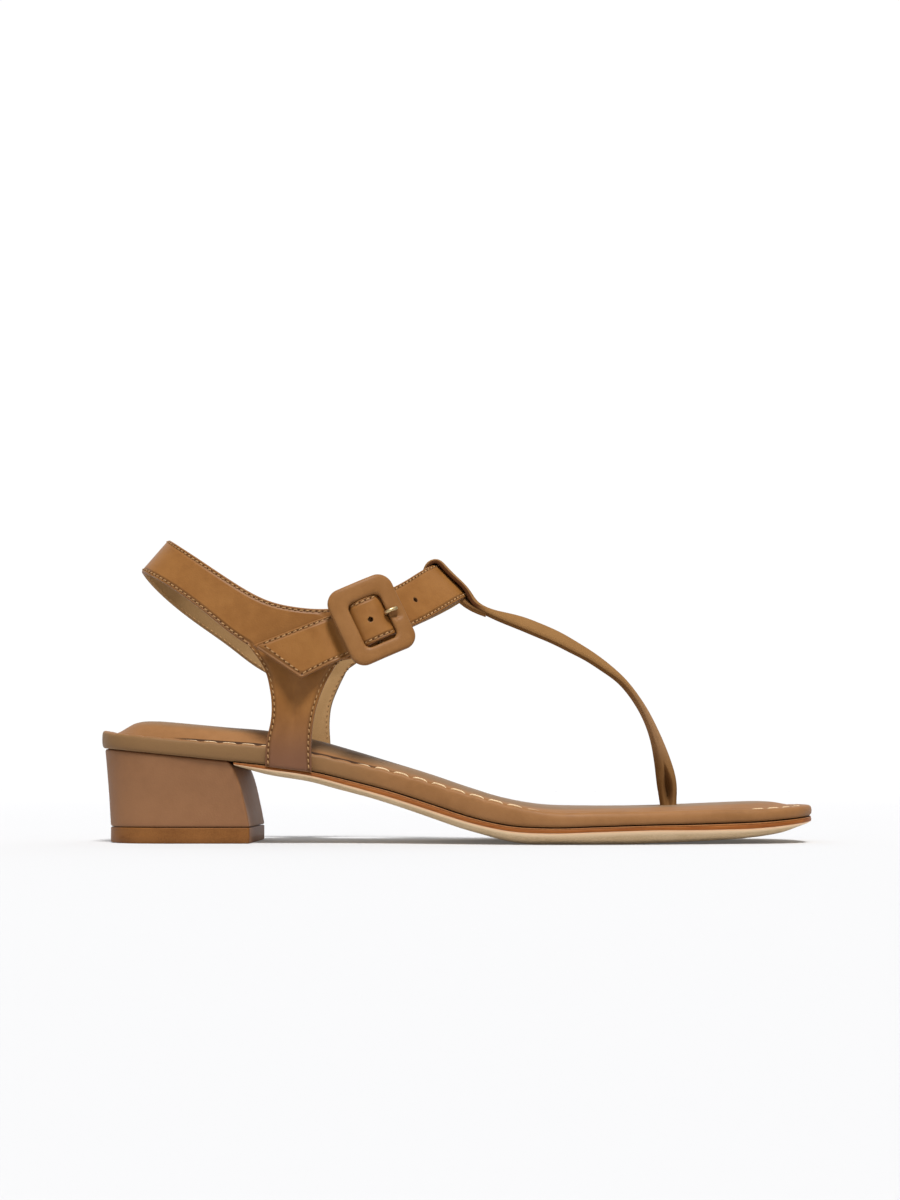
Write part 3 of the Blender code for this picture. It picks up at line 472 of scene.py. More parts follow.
def leather(name, colour, deep, roughness=0.46, grain=0.04, coat=0.06, seam=False, second=None, gloss=0.12,
            rim=False, painted_light_tint=None):
    """Smooth dyed leather: slow changes of tone, fine pebbled grain and pores, a light finish coat.

    With a seam it is pressed in and darker along the line of stitches inside its edge, and painted shade
    makes it darker and greyer at the quarters' feet. A second colour of painted shade comes in where the mesh
    has that mark. A painted light tint makes it paler between two heights, and its thin loop has a dark cut
    edge. A rim
    has painted shade: a greyer, darker side, and a dark line in the crease inside it.
    """
    f = Finish(name)
    slow, tone = f.noise(38.0, 2.0), f.noise(240.0, 4.0)
    pebbles, pores = f.cells(1500.0), f.noise(5200.0, 2.0)
    shade = f.step(slow * 0.55 + tone * 0.45, 0.33, 0.67)
    tint, relief = f.blend(shade, deep, colour), (pebbles * 0.7 + pores * 0.3) * grain
    if seam:
        # Painted shade: darker and greyer at the quarters' feet.
        tint = f.blend(1.0 - f.step(f.height(), *QUARTER_FOOT_SHADE_HEIGHTS), tint, QUARTER_FOOT_SHADE)
        edge = f.mark("edge_mm")
        press = f.step(edge, SEAM_FROM, STITCH_INSET) * (1.0 - f.step(edge, STITCH_INSET, SEAM_TO))
        tint = f.blend(press * SEAM_PRESS, tint, tuple(0.55 * c for c in deep))
        relief = relief - press * SEAM_PRESS
    if second:
        tint = f.blend(f.step(f.mark("second_tone"), 0.55, 0.98), tint, second)
    if painted_light_tint:
        tint = f.blend(f.mark("cut_edge"), tint, CUT_DARK)
        # Painted light: paler between two heights.
        height = f.height()
        tint = f.blend(f.step(height, *PAINTED_LIGHT_FROM) * (1.0 - f.step(height, *PAINTED_LIGHT_TO)), tint, painted_light_tint)
    if rim:
        # Painted shade: the rim's side greyer and darker, and a dark line in the crease inside the rim.
        tint = f.blend(f.mark("rim_side_shade"), tint, RIM_SIDE_SHADE)
        tint = f.blend(f.step(f.mark("rim_crease_shade") + (tone - 0.5) * 0.5, 0.3, 0.75), tint, RIM_CREASE_SHADE)
    if coat:
        f.set(coat_weight=f.step(slow, 0.35, 0.7) * coat, coat_roughness=0.32)
    f.set(base_color=tint, specular_ior_level=gloss)
    f.set(roughness=roughness + (tone - 0.5) * 0.22 + (pores - 0.5) * 0.10)
    f.bump(relief, 1.0)
    return f.material


def grained(name, gloss, deep, colour, limits, fine, detail, roughness, change, depth, slow=None):
    """A dull grained finish: two colours mixed by a fine noise, or by that and a slower one.

    The fine noise also changes the roughness, and its depth in millimetres gives the relief.
    """
    f = Finish(name, specular_ior_level=gloss)
    grain = f.noise(fine, detail)
    mix = f.noise(slow) * 0.6 + grain * 0.4 if slow else grain
    f.set(base_color=f.blend(f.step(mix, *limits), deep, colour))
    f.set(roughness=roughness + (grain - 0.5) * change)
    f.bump(grain, depth)
    return f.material


def sole_finish():
    """Cut sole leather.

    From the top down: a dark line of painted shade under the footbed, a warm welt, a burnished edge with a
    bright line of painted highlight at its foot, and below it a natural pale bevel, brighter at its top by a
    painted highlight, and the tread.
    """
    f = Finish("sole_leather", specular_ior_level=0.15)
    drop, edge = f.mark("sole_drop"), f.mark("sole_edge")
    fibre, slow = f.noise(1500.0, 4.0), f.noise(120.0, 3.0)
    streak = f.node("ShaderNodeTexNoise", {}, {
        "Vector": f.node("ShaderNodeMapping", {}, {"Vector": f.place, "Scale": (60.0, 60.0, 2600.0)}),
        "Scale": 1.0, "Detail": 3.0}, "Fac")
    rubbed = f.step(streak * 0.6 + slow * 0.4, 0.3, 0.7)
    burnish = f.blend(rubbed, (0.20, 0.055, 0.010), (0.31, 0.105, 0.023))
    welt = f.blend(f.step(fibre, 0.3, 0.7), (0.27, 0.105, 0.03), (0.38, 0.165, 0.055))
    pale = f.blend(f.step(fibre * 0.5 + slow * 0.5, 0.3, 0.7), (0.50, 0.355, 0.20), (0.64, 0.48, 0.30))
    # Painted shade: near black at the top of the edge, in the gap under the footbed.
    upright = f.blend(f.step(edge, 0.03, 0.10), (0.045, 0.011, 0.002), welt)
    upright = f.blend(f.step(edge, 0.22, 0.29), upright, burnish)
    # Painted highlight: a bright line at the foot of the edge, and the bevel brighter at its top.
    upright = f.blend(f.step(edge, 0.84, 0.92), upright, (0.92, 0.60, 0.36))
    pale = f.blend(f.step(drop, 0.05, 0.40), (0.88, 0.64, 0.41), pale)
    f.set(base_color=f.blend(f.step(drop + (fibre - 0.5) * 0.04, 0.02, 0.08), upright, pale))
    f.set(roughness=0.5 + (fibre - 0.5) * 0.25)
    f.bump(fibre * 0.6 + streak * 0.4, 0.07)
    return f.material


def hole_shade_finish():
    """Painted shade for the inside of a hole in leather: a dark colour in place of the shade in it."""
    f = Finish("needle_hole", specular_ior_level=0.0, roughness=0.95)
    f.set(base_color=f.blend(f.noise(900.0), (0.075, 0.033, 0.014), (0.12, 0.055, 0.022)))
    return f.material


def gold_finish():
    """Pale polished gold, with faint rubbing marks."""
    f = Finish("pale_gold", metallic=1.0)
    rub = f.noise(700.0, 4.0)
    f.set(base_color=f.blend(rub, (0.46, 0.34, 0.17), (0.62, 0.48, 0.27)), roughness=0.3 + rub * 0.16)
    return f.material


STRAP = leather("strap_leather", (0.275, 0.117, 0.028), (0.225, 0.09, 0.02), grain=0.03, seam=True,
                gloss=0.2)
# The second colour is painted shade on the thong's underside; the paler tint is painted light low on the
# thong.
THONG_LEATHER = leather("thong_leather", (0.256, 0.133, 0.050), (0.226, 0.114, 0.041), 0.6, 0.012, 0.0,
                        second=(0.15, 0.068, 0.022), gloss=0.0, painted_light_tint=(0.31, 0.172, 0.082))
LINING = grained("lining_leather", 0.25, (0.31, 0.18, 0.072), (0.39, 0.235, 0.10), (0.35, 0.65), 2600.0, 3.0,
                 0.74, 0.2, 0.05, slow=60.0)
EDGE = grained("strap_edge", 0.3, (0.18, 0.08, 0.03), (0.26, 0.125, 0.05), (0.35, 0.7), 1800.0, 4.0,
               0.62, 0.25, 0.06)
# The second colour is painted shade on the padding's top, reaching closer to the rim from the waist forward.
FOOTBED_LEATHER = leather("footbed_leather", (0.285, 0.134, 0.05), (0.235, 0.107, 0.037), 0.52, 0.04, 0.03,
                          second=(0.205, 0.118, 0.057), rim=True)
HEEL_LEATHER = leather("heel_leather", (0.25, 0.115, 0.048), (0.225, 0.10, 0.04), 0.62, 0.04, 0.0, gloss=0.3)
BUCKLE_LEATHER = leather("buckle_leather", (0.27, 0.124, 0.04), (0.226, 0.099, 0.03))
LIFT = grained("heel_lift_rubber", 0.12, (0.165, 0.062, 0.016), (0.225, 0.09, 0.024), (0.35, 0.65), 2200.0,
               3.0, 0.5, 0.2, 0.04, slow=90.0)
STRAP_THREAD = grained("tan_thread", 0.1, (0.30, 0.155, 0.06), (0.50, 0.30, 0.14), (0.3, 0.7), 2600.0, 2.0,
                       0.66, 0.2, 0.05)
RIM_THREAD = grained("cream_thread", 0.1, (0.58, 0.40, 0.23), (0.78, 0.60, 0.38), (0.3, 0.7), 2600.0, 2.0,
                     0.66, 0.2, 0.05)
SOLE, HOLE_SHADE, GOLD = sole_finish(), hole_shade_finish(), gold_finish()
STRAP_FINISHES = [STRAP, LINING, EDGE, HOLE_SHADE]  # face, lining, cut edge, painted shade inside the holes


def outline(start_x, heel, side_count, end_count):
    """The footbed's plan: edge points and the middle-line points they face, outer side first, then the toe.

    The sides follow the plan's half-breadths, and each end is a superellipse of those half-breadths.
    """
    xs = np.linspace(start_x, TOE_END_X, side_count)
    edges = between(PLAN, xs)
    spine = np.column_stack([xs, (edges[:, 1] - edges[:, 0]) / 2])
    outer, inner = np.column_stack([xs, -edges[:, 0]]), np.column_stack([xs, edges[:, 1]])

    def end(end_x, length, roundness, sign):
        """A round end in equal steps, and the middle point that it faces."""
        ahead, aside = superellipse(np.linspace(-math.pi / 2, math.pi / 2, END_FINE), roundness)
        x = end_x + sign * length * ahead
        sides = between(PLAN, x)
        centre = between(PLAN, end_x)[0]
        centre = (centre[1] - centre[0]) / 2
        half = np.where(aside < 0, sides[:, 0] + centre, sides[:, 1] - centre)
        rim = np.column_stack([x, centre + half * aside])
        run = run_length(rim)
        rim = read_at(np.linspace(0.0, run[-1], end_count + 2)[1:-1], run, rim)
        return rim, np.tile([end_x, centre], (end_count, 1))

    toe, toe_spine = end(TOE_END_X, TOE_END_LENGTH, TOE_ROUND, 1.0)
    edge, facing = [outer, toe, inner[::-1]], [spine, toe_spine, spine[::-1]]
    if heel:
        back, back_spine = end(HEEL_END_X, HEEL_END_LENGTH, HEEL_ROUND, -1.0)
        edge.append(back[::-1])
        facing.append(back_spine)
    return np.vstack(edge), np.vstack(facing)


def inset(edge, facing, distance):
    """Edge points moved a distance toward the middle line, but never quite to it."""
    way = facing - edge
    reach = np.linalg.norm(way, axis=-1, keepdims=True)
    return edge + way * np.minimum(distance / reach, INSET_MOST)


EDGE_POINTS, FACING_POINTS = outline(HEEL_END_X, True, SIDE_COUNT, END_COUNT)
EDGE_RUN = run_length(np.vstack([EDGE_POINTS, EDGE_POINTS[:1]]))
EDGE_TOTAL = EDGE_RUN[-1]
RIM_STITCHES = int(round(EDGE_TOTAL / RIM_STITCH_PITCH))
RIM_PITCH = EDGE_TOTAL / RIM_STITCHES


def pucker(run, x):
    """The rise of the wrapped rim at a place along it: an arch over each stitch, low at the needle holes."""
    phase = ((run - RIM_STITCH_SHIFT) / RIM_PITCH) % 1.0
    arch = 1.0 - np.abs(2.0 * phase - 1.0)**3
    return PUCKER_RISE * between(PUCKERS, x)[:, 0] * (arch - PUCKER_LEVEL)


def make_footbed():
    """The padded footbed: its section carried round the plan, with a puckered rim and a hollow at the post.

    A point's height is the underside, plus shares of the rim's height and the padding's rise.
    """
    section = section_through(FOOTBED_SECTION, FOOTBED_ROWS)
    rings = [np.column_stack([FACING_POINTS, between(FOOTBED, FACING_POINTS[:, 0])[:, 0]])]
    broad, softer = between(RIM_FORM, EDGE_POINTS[:, 0]).T[..., None]
    for from_edge, rim, pad in section:
        inward = np.interp(from_edge, RIM_BREADTH, [0.0, 1.0])
        further = from_edge * (1.0 + (broad - 1.0) * inward) + softer * rim**4 * (1.0 - inward)
        plan = inset(EDGE_POINTS, FACING_POINTS, further)
        side = between(FOOTBED, plan[:, 0])
        rise = pucker(EDGE_RUN[:-1], plan[:, 0]) * bell(from_edge, PUCKER_INSET, PUCKER_REACH)
        z = side[:, 0] + side[:, 1] * rim + side[:, 2] * pad + rise * (rim > RIM_TOP)
        rings.append(np.column_stack([plan, z]))
    for share in PAD_SHARES:
        inner = plan + (FACING_POINTS - plan) * share
        side = between(FOOTBED, inner[:, 0])
        padding = side[:, 2] * (pad + (1 - pad) * share)
        rings.append(np.column_stack([inner, side[:, 0] + side[:, 1] + padding]))
    verts, faces = skins([rings])
    from_post = np.hypot(verts[:, 0] - THONG[0][0], verts[:, 1] - THONG[0][1])
    top = np.repeat(np.arange(len(rings)), len(EDGE_POINTS)) >= len(rings) - POST_HOLLOW_RINGS
    verts[:, 2] -= POST_HOLLOW * bell(from_post, 0.0, POST_HOLLOW_REACH) * top

    # The first and last rows stand for the rings inside the section, which carry no mark of the rim.
    inside = np.tile([20.0, 1.0, 1.0], (len(PAD_SHARES), 1))
    insets, rims, pads = np.vstack([[9.0, 0.0, 0.0], section, inside]).T
    # Painted shade: a dark line in the crease inside the rim, the rim's side greyer and darker, and the pad's
    # darker colour reaching closer to the rim from the waist forward.
    dark, grey, pad_shade_reach = between(RIM_PAINTED_SHADES, EDGE_POINTS[:, 0]).T
    side_shade_ring = np.interp(rims, RIM_SIDE_SHADE_SHARES, [1.0, 0.0]) * (insets < RIM_SIDE_SHADE_INSET)
    upward = np.arange(len(rings)) > np.argmin(insets)
    crease_shade_ring = np.interp(insets, RIM_CREASE_SHADE_INSETS, [0.0, 1.0, 1.0, 0.0]) * upward
    marks = {"second_tone": pads[:, None] + pad_shade_reach[None], "rim_side_shade": np.outer(side_shade_ring, grey),
             "rim_crease_shade": np.outer(crease_shade_ring, dark)}
    made = put_mesh("footbed_cover", verts, faces, [FOOTBED_LEATHER], marks, close=True)
    wear(made, "footbed_leather", "footbed")


def tubes(lines, radius, around):
    """Round threads along lines of points: circles about each line, with ends closed to a point.

    lines has one row of points for each thread. A circle's radius falls to nothing at both end points.
    """
    way = unit(np.gradient(lines, axis=1))
    side = unit(np.cross(way, np.array([0.0, 0.0, 1.0])))
    up = np.cross(side, way)
    share = np.linspace(-1.0, 1.0, lines.shape[1])
    size = radius * np.sqrt(np.maximum(0.0, 1.0 - np.abs(share)**6))
    angle = full_turn(around)[None, None, :, None]
    spread = size[None, :, None, None] * (np.cos(angle) * side[:, :, None] + np.sin(angle) * up[:, :, None])
    return lines[:, :, None] + spread


def make_rim_stitches():
    """The footbed's long stitches: each lies over its pucker and dips into the needle holes at its ends."""
    share = np.linspace(-1.0, 1.0, RIM_STITCH_POINTS)
    middles = (np.arange(RIM_STITCHES)[:, None] + 0.5) * RIM_PITCH + RIM_STITCH_SHIFT
    places = ((middles + share * RIM_STITCH_LENGTH / 2) % EDGE_TOTAL).ravel()
    edge, facing = (read_at(places, EDGE_RUN, np.vstack([points, points[:1]]))
                    for points in (EDGE_POINTS, FACING_POINTS))
    sunk, rise = between(RIM_STITCHING, edge[:, 0]).T
    plan = inset(edge, facing, sunk[:, None])
    side = between(FOOTBED, plan[:, 0])
    rim_top = side[:, 0] + side[:, 1] + pucker(places, plan[:, 0]) * bell(sunk, PUCKER_INSET, PUCKER_REACH)
    z = rim_top + rise - np.tile(RIM_STITCH_DIP * np.abs(share)**8, RIM_STITCHES)
    lines = np.column_stack([plan, z]).reshape(RIM_STITCHES, -1, 3)
    threads = skins(tubes(lines, RIM_THREAD_RADIUS, RIM_THREAD_AROUND))
    wear(put_mesh("footbed_rim_stitches", *threads, [RIM_THREAD]), "footbed_leather")


def make_outsole():
    """The sole: its section carried round the plan, from its top over the edge and bevel to the tread."""
    edge, facing = outline(OUTSOLE[0][0], False, SOLE_SIDE_COUNT, SOLE_END_COUNT)
    section = section_through(SOLE_SECTION, SOLE_ROWS)

    def ring(plan, down, drop):
        """Plan points at a share of the edge's height, and from there a share of the drop to the tread."""
        side = between(OUTSOLE, plan[:, 0])
        top = between(FOOTBED, plan[:, 0])[:, 0] - GAP
        foot = top - side[:, 0] * down
        return np.column_stack([plan, foot + (side[:, 1] - foot) * drop])

    raised = np.array([0.0, 0.0, GAP])
    rings = [ring(facing, 0.0, 0.0) + raised]
    for from_edge, down, drop in section:
        hidden = (from_edge > SOLE_RAISED_INSET) * (drop == 0.0)
        rings.append(ring(inset(edge, facing, from_edge), down, drop) + raised * hidden)
    rings.append(ring(facing, 1.0, 1.0))
    marks = np.repeat(np.vstack([[0.0, 0.0], section[:, 1:], [1.0, 1.0]]), len(edge), axis=0)
    attributes = {"sole_edge": marks[:, 0], "sole_drop": marks[:, 1]}
    verts, faces = np.vstack(rings), grid_faces(len(rings), len(edge))
    made = put_mesh("leather_sole", verts, faces, [SOLE], attributes, close=True, sharp=50)
    wear(made, "sole_leather", "outsole")


def heel_plan(back, breast, half):
    """A heel's section: a superellipse at the back, straight sides, round corners and a straight breast."""
    half_turn = np.linspace(math.pi / 2, math.pi * 3 / 2, HEEL_BACK_POINTS)
    behind, aside = superellipse(half_turn, HEEL_BACK_ROUND)
    rear = np.column_stack([HEEL_MIDDLE_X + (HEEL_MIDDLE_X - back) * behind, half * aside])
    turn = np.linspace(0.0, math.pi / 2, HEEL_CORNER_POINTS)
    front, beside = breast - HEEL_CORNER, half - HEEL_CORNER
    xs = np.linspace(HEEL_MIDDLE_X, front, HEEL_SIDE_POINTS + 2)[1:-1]
    across = np.linspace(-beside, beside, HEEL_BREAST_POINTS + 2)[1:-1]
    corner = np.column_stack([front + HEEL_CORNER * np.sin(turn), beside + HEEL_CORNER * np.cos(turn)])
    side = np.vstack([np.column_stack([xs, np.full(HEEL_SIDE_POINTS, half)]), corner])
    face = np.column_stack([np.full(HEEL_BREAST_POINTS, breast), across])
    return np.vstack([rear, side * (1.0, -1.0), face, side[::-1]])


def make_heel():
    """The covered heel: plan sections at levels from the lift up to the footbed, with softened rims."""
    levels = [(0.0, CLOSED_INSET, 0.0), (0.0, 0.35, 0.0), (0.012, 0.06, 0.0)]  # share, inset, extra height
    levels += [(share, 0.0, 0.0) for share in np.linspace(0.03, 0.97, 26)]
    levels += [(0.985, 0.08, 0.0), (1.0, 0.4, 0.0), (1.0, 1.2, GAP), (1.0, CLOSED_INSET, GAP)]
    foot, rings = LIFT_HEIGHT + GAP, []
    for share, less, more in levels:
        back, breast, half = between(HEEL_LEVELS, share)[0]
        plan = heel_plan(back + less, breast - less, half - less)
        seat = between(FOOTBED, plan[:, 0])[:, 0] - GAP + more
        rings.append(np.column_stack([plan, foot + (seat - foot) * share]))
    made = put_mesh("heel_cover", *skins([rings]), [HEEL_LEATHER], close=True, sharp=40)
    wear(made, "heel_leather", "heel_block")


def make_lift():
    """The heel's lift: the heel's lowest section as a plate with softened rims."""
    _, back, breast, half = HEEL_LEVELS[0]
    levels = [  # height, inset
        (0.0, CLOSED_INSET), (0.0, LIFT_BEVEL), (0.18, 0.16), (LIFT_BEVEL, 0.0), (2.6, 0.0),
        (LIFT_HEIGHT - 0.25, 0.0), (LIFT_HEIGHT, 0.22), (LIFT_HEIGHT, CLOSED_INSET)]
    rings = []
    for z, less in levels:
        plan = heel_plan(back + less, breast - less, half - less)
        rings.append(np.column_stack([plan, np.full(len(plan), z)]))
    made = put_mesh("heel_top_lift", *skins([rings]), [LIFT], close=True, sharp=40)
    wear(made, "lift_rubber", "heel_lift")


def strip_curve():
    """The strip's middle line, lower and upper edge in fine steps, and each named row's place among them."""
    rows = np.array([row[1:] for row in STRIP])
    middle = (rows[:, :3] + rows[:, 3:]) / 2
    steps = steps_of(middle, STRIP_STEP)
    places = np.concatenate([[0], np.cumsum(steps)])
    return along(np.column_stack([middle, rows]), steps), dict(zip([row[0] for row in STRIP], places))


CURVE, ROW_AT = strip_curve()
LOW, HIGH = CURVE[:, 3:6], CURVE[:, 6:9]
SWELL = bell(CURVE[:, 0], BUCKLE_X, STRAP_SWELL_REACH) * (np.arange(len(CURVE)) > ROW_AT["outer_instep"])
HIGH += unit(HIGH - LOW) * (STRAP_SWELL * SWELL)[:, None]
STRIP_OUT = unit(np.cross(unit(HIGH - LOW), np.gradient(CURVE[:, :3], axis=0)))


def bulge():
    """How far the strap swells into the buckle's window and dips beside it: a broad hump and a small bell."""
    under = np.arange(ROW_AT["outer_instep"], len(CURVE))
    run = run_length(CURVE[under, :3])
    from_buckle = run - np.interp(-BUCKLE_X, -CURVE[under, 0], run)
    hump = np.zeros(len(CURVE))
    hump[under] = STRAP_BULGE * (1.0 - np.minimum(np.abs(from_buckle / STRAP_BULGE_REACH), 1.0)**3)
    hump[under] -= STRAP_DIP * bell(from_buckle, -STRAP_DIP_AT, STRAP_DIP_REACH)
    return hump


for strip_edge in (LOW, HIGH):
    strip_edge += STRIP_OUT * bulge()[:, None]


def quarter_rows(table, first, last):
    """Rows of a quarter from the strip's lower edge down.

    They are straight between the quarter's side edges, sag like the strip's edge, and have one soft crease.
    """
    top = LOW[ROW_AT[first]:ROW_AT[last] + 1]
    down = np.linspace(0.0, 1.0, QUARTER_ROWS + 1)
    sides = between([(0.0, *top[0], *top[-1])] + table, down)
    span = np.linspace(0.0, 1.0, len(top))[None, :, None]
    sag = top - (top[0] * (1 - span[0]) + top[-1] * span[0])
    rows = sides[:, None, :3] * (1 - span) + sides[:, None, 3:] * span
    rows += sag[None] * ((1 - down)**2)[:, None, None]
    deep = CREASE_DEPTH * np.sin(math.pi * down**CREASE_SKEW)
    rows[..., 1] -= np.outer(deep, bell(span[0, :, 0], 0.5, CREASE_REACH)) * np.sign(rows[..., 1])
    return rows


def edge_distance(verts, faces, hidden):
    """How far each point is from the sheet's free edge, without the edges between hidden points."""
    sides = np.sort(np.vstack([faces[:, [k, (k + 1) % 4]] for k in range(4)]), axis=1)
    pairs, uses = np.unique(sides, axis=0, return_counts=True)
    pairs = pairs[uses == 1]
    rim = verts[np.unique(pairs[~np.isin(pairs, hidden).all(axis=1)])]
    return np.concatenate([np.linalg.norm(part[:, None] - rim[None], axis=2).min(axis=1)
                           for part in np.array_split(verts, EDGE_BATCHES)])


def make_straps():
    """The strip and both quarters as one leather sheet, with lining and cut edge.

    The strip is straight across between its two edges; each quarter hangs from the strip's lower edge.
    """
    across = STRIP_ACROSS + 1
    share = np.linspace(0.0, 1.0, across)[None, :, None]
    grid = LOW[:, None] * (1 - share) + HIGH[:, None] * share
    verts, faces = [grid.reshape(-1, 3)], [grid_faces(len(CURVE), across)]
    used, hidden = len(CURVE) * across, []
    for table, first, last in QUARTERS:
        rows = quarter_rows(table, first, last)
        above = np.arange(ROW_AT[first], ROW_AT[last] + 1) * across
        below = used + np.arange(QUARTER_ROWS * len(above)).reshape(QUARTER_ROWS, -1)
        ids = np.vstack([above[None], below]).ravel()
        faces.append(ids[grid_faces(QUARTER_ROWS + 1, len(above))])
        verts.append(rows[1:].reshape(-1, 3))
        hidden.append(below[-1])
        used += below.size
    verts, faces = np.vstack(verts), np.vstack(faces)
    marks = {"edge_mm": edge_distance(verts, faces, np.concatenate(hidden))}
    sheet = put_mesh("leather_straps", verts, faces, STRAP_FINISHES, marks)
    wear(punch(thicken(sheet, STRAP_THICK)), "strap_leather", "upper")


def punch(made):
    """Cut the round strap holes, which stand in a row along the strap's middle."""
    angle = full_turn(HOLE_AROUND)[:, None]
    grids = []
    for place in HOLE_PLACES:
        point, way, across, outward = strap_at(place)
        circle = point + HOLE_RADIUS * (np.cos(angle) * way + np.sin(angle) * across)
        grids.append([circle - HOLE_CUT * outward, circle + HOLE_CUT * outward])
    cutter = put_mesh("hole_cutter", *skins(grids), STRAP_FINISHES, close=True)
    # The holes' walls take the painted shade.
    inside = np.full(len(cutter.data.polygons), STRAP_FINISHES.index(HOLE_SHADE), np.int32)
    cutter.data.polygons.foreach_set("material_index", inside)
    cut = made.modifiers.new("holes", "BOOLEAN")
    cut.operation, cut.solver, cut.object = "DIFFERENCE", "EXACT", cutter
    settle(made)
    bpy.data.objects.remove(cutter)
    return made


def sewing_lines():
    """Lines of stitches a little inside the sheet's free edges: points and outward directions."""
    across, end = unit(HIGH - LOW), ROW_AT["free_end"]
    near_tip = [ROW_AT["buckle_front"], ROW_AT["outer_end"]]
    further = np.interp(np.arange(len(CURVE)), near_tip, [0.0, TIP_INSET])[:, None]
    low, high = LOW + across * (STITCH_INSET + further), HIGH - across * STITCH_INSET
    upper = (high[:end - 1], STRIP_OUT[:end - 1])
    share = np.linspace(*TIP_SHARES, TIP_POINTS)[:, None]
    tip_line = low[end - 2] * (1 - share) + high[end - 2] * share
    tip = (tip_line, np.tile(STRIP_OUT[end - 2], (TIP_POINTS, 1)))

    def side_line(table, first, last, which):
        """The line down one side of a quarter: its first side or its last."""
        rows = quarter_rows(table, first, last)
        here, other = (rows[:, 0], rows[:, -1]) if which == 0 else (rows[:, -1], rows[:, 0])
        inward = unit(other - here)
        out = unit(np.cross(inward, np.gradient(here, axis=0)))
        out *= np.sign(out[:, 1:2]) * np.sign(here[:, 1:2])
        return here + inward * STITCH_INSET, out

    def joined(strip_part, side, backward):
        """A part of the strip's lower line that goes on down a quarter's side, as one line."""
        points, out = strip_part
        if backward:
            points, out = points[::-1], out[::-1]
        return np.vstack([points[:-2], side[0][2:]]), np.vstack([out[:-2], side[1][2:]])

    def part(first, last):
        """The strip's lower line from one named row to another."""
        a, b = ROW_AT[first], ROW_AT[last] + 1
        return low[a:b], STRIP_OUT[a:b]

    outer, inner = QUARTERS
    points, out = part("outer_rear", "inner_rear")
    half = len(points) // 2
    instep = [column[:end - 1 - ROW_AT["inner_front"]] for column in part("inner_front", "free_end")]
    return [upper, tip,
            joined(part("buckle_bar", "outer_front"), side_line(*outer, 0), False),
            joined((points[:half], out[:half]), side_line(*outer, 1), True),
            joined((points[half:], out[half:]), side_line(*inner, 0), False),
            joined(instep, side_line(*inner, 1), True)]


def beans(centres, way, side, up, length, width, rise):
    """Small closed beans, one at each centre: ovals along a short line, pinched at both ends."""
    a = np.linspace(-1.0, 1.0, STITCH_STEPS)[:, None, None]
    size = np.sqrt(np.maximum(0.0, 1.0 - a**4))
    angle = full_turn(STITCH_AROUND)[None, :, None]
    centres, way, side, up = (columns[:, None, None] for columns in (centres, way, side, up))
    broad, high = size * np.cos(angle) * width / 2, size * np.sin(angle) * rise
    return centres + a * length / 2 * way + broad * side + high * up


def make_strap_stitches():
    """Close stitches along the straps' edges, on face and lining, with needle holes of painted shade on the
    face.
    """
    threads, holes = [], []
    for points, out in sewing_lines():
        run = run_length(points)
        count = int(run[-1] / STITCH_PITCH)
        middles, ends = (np.arange(count) + 0.5) * STITCH_PITCH, np.arange(count + 1) * STITCH_PITCH
        for places, kept in ((middles, threads), (ends, holes)):
            centre, normal = read_at(places, run, points), unit(read_at(places, run, out))
            ahead = read_at(np.minimum(places + DIRECTION_STEP, run[-1]), run, points)
            behind = read_at(np.maximum(places - DIRECTION_STEP, 0.0), run, points)
            way = unit(ahead - behind)
            side = unit(np.cross(normal, way))
            kept.append((centre, unit(way + STITCH_SLANT * side), side, normal))
    thread_sizes = (STITCH_LENGTH, STITCH_WIDTH, STITCH_RISE)
    hole_sizes = (NEEDLE_HOLE * 2, NEEDLE_HOLE * 2, NEEDLE_RISE)
    for name, kept, sizes, finish, faces_out in (
            ("strap_stitches", threads, thread_sizes, STRAP_THREAD, (1.0, -1.0)),
            ("strap_needle_holes", holes, hole_sizes, HOLE_SHADE, (1.0,))):
        centre, way, side, normal = (np.vstack(columns) for columns in zip(*kept))
        seat = normal * (STRAP_THICK / 2 - STITCH_SINK)
        grids = [beans(centre + sign * seat, way, side * sign, normal * sign, *sizes) for sign in faces_out]
        wear(put_mesh(name, *skins(np.concatenate(grids)), [finish]), "strap_leather")


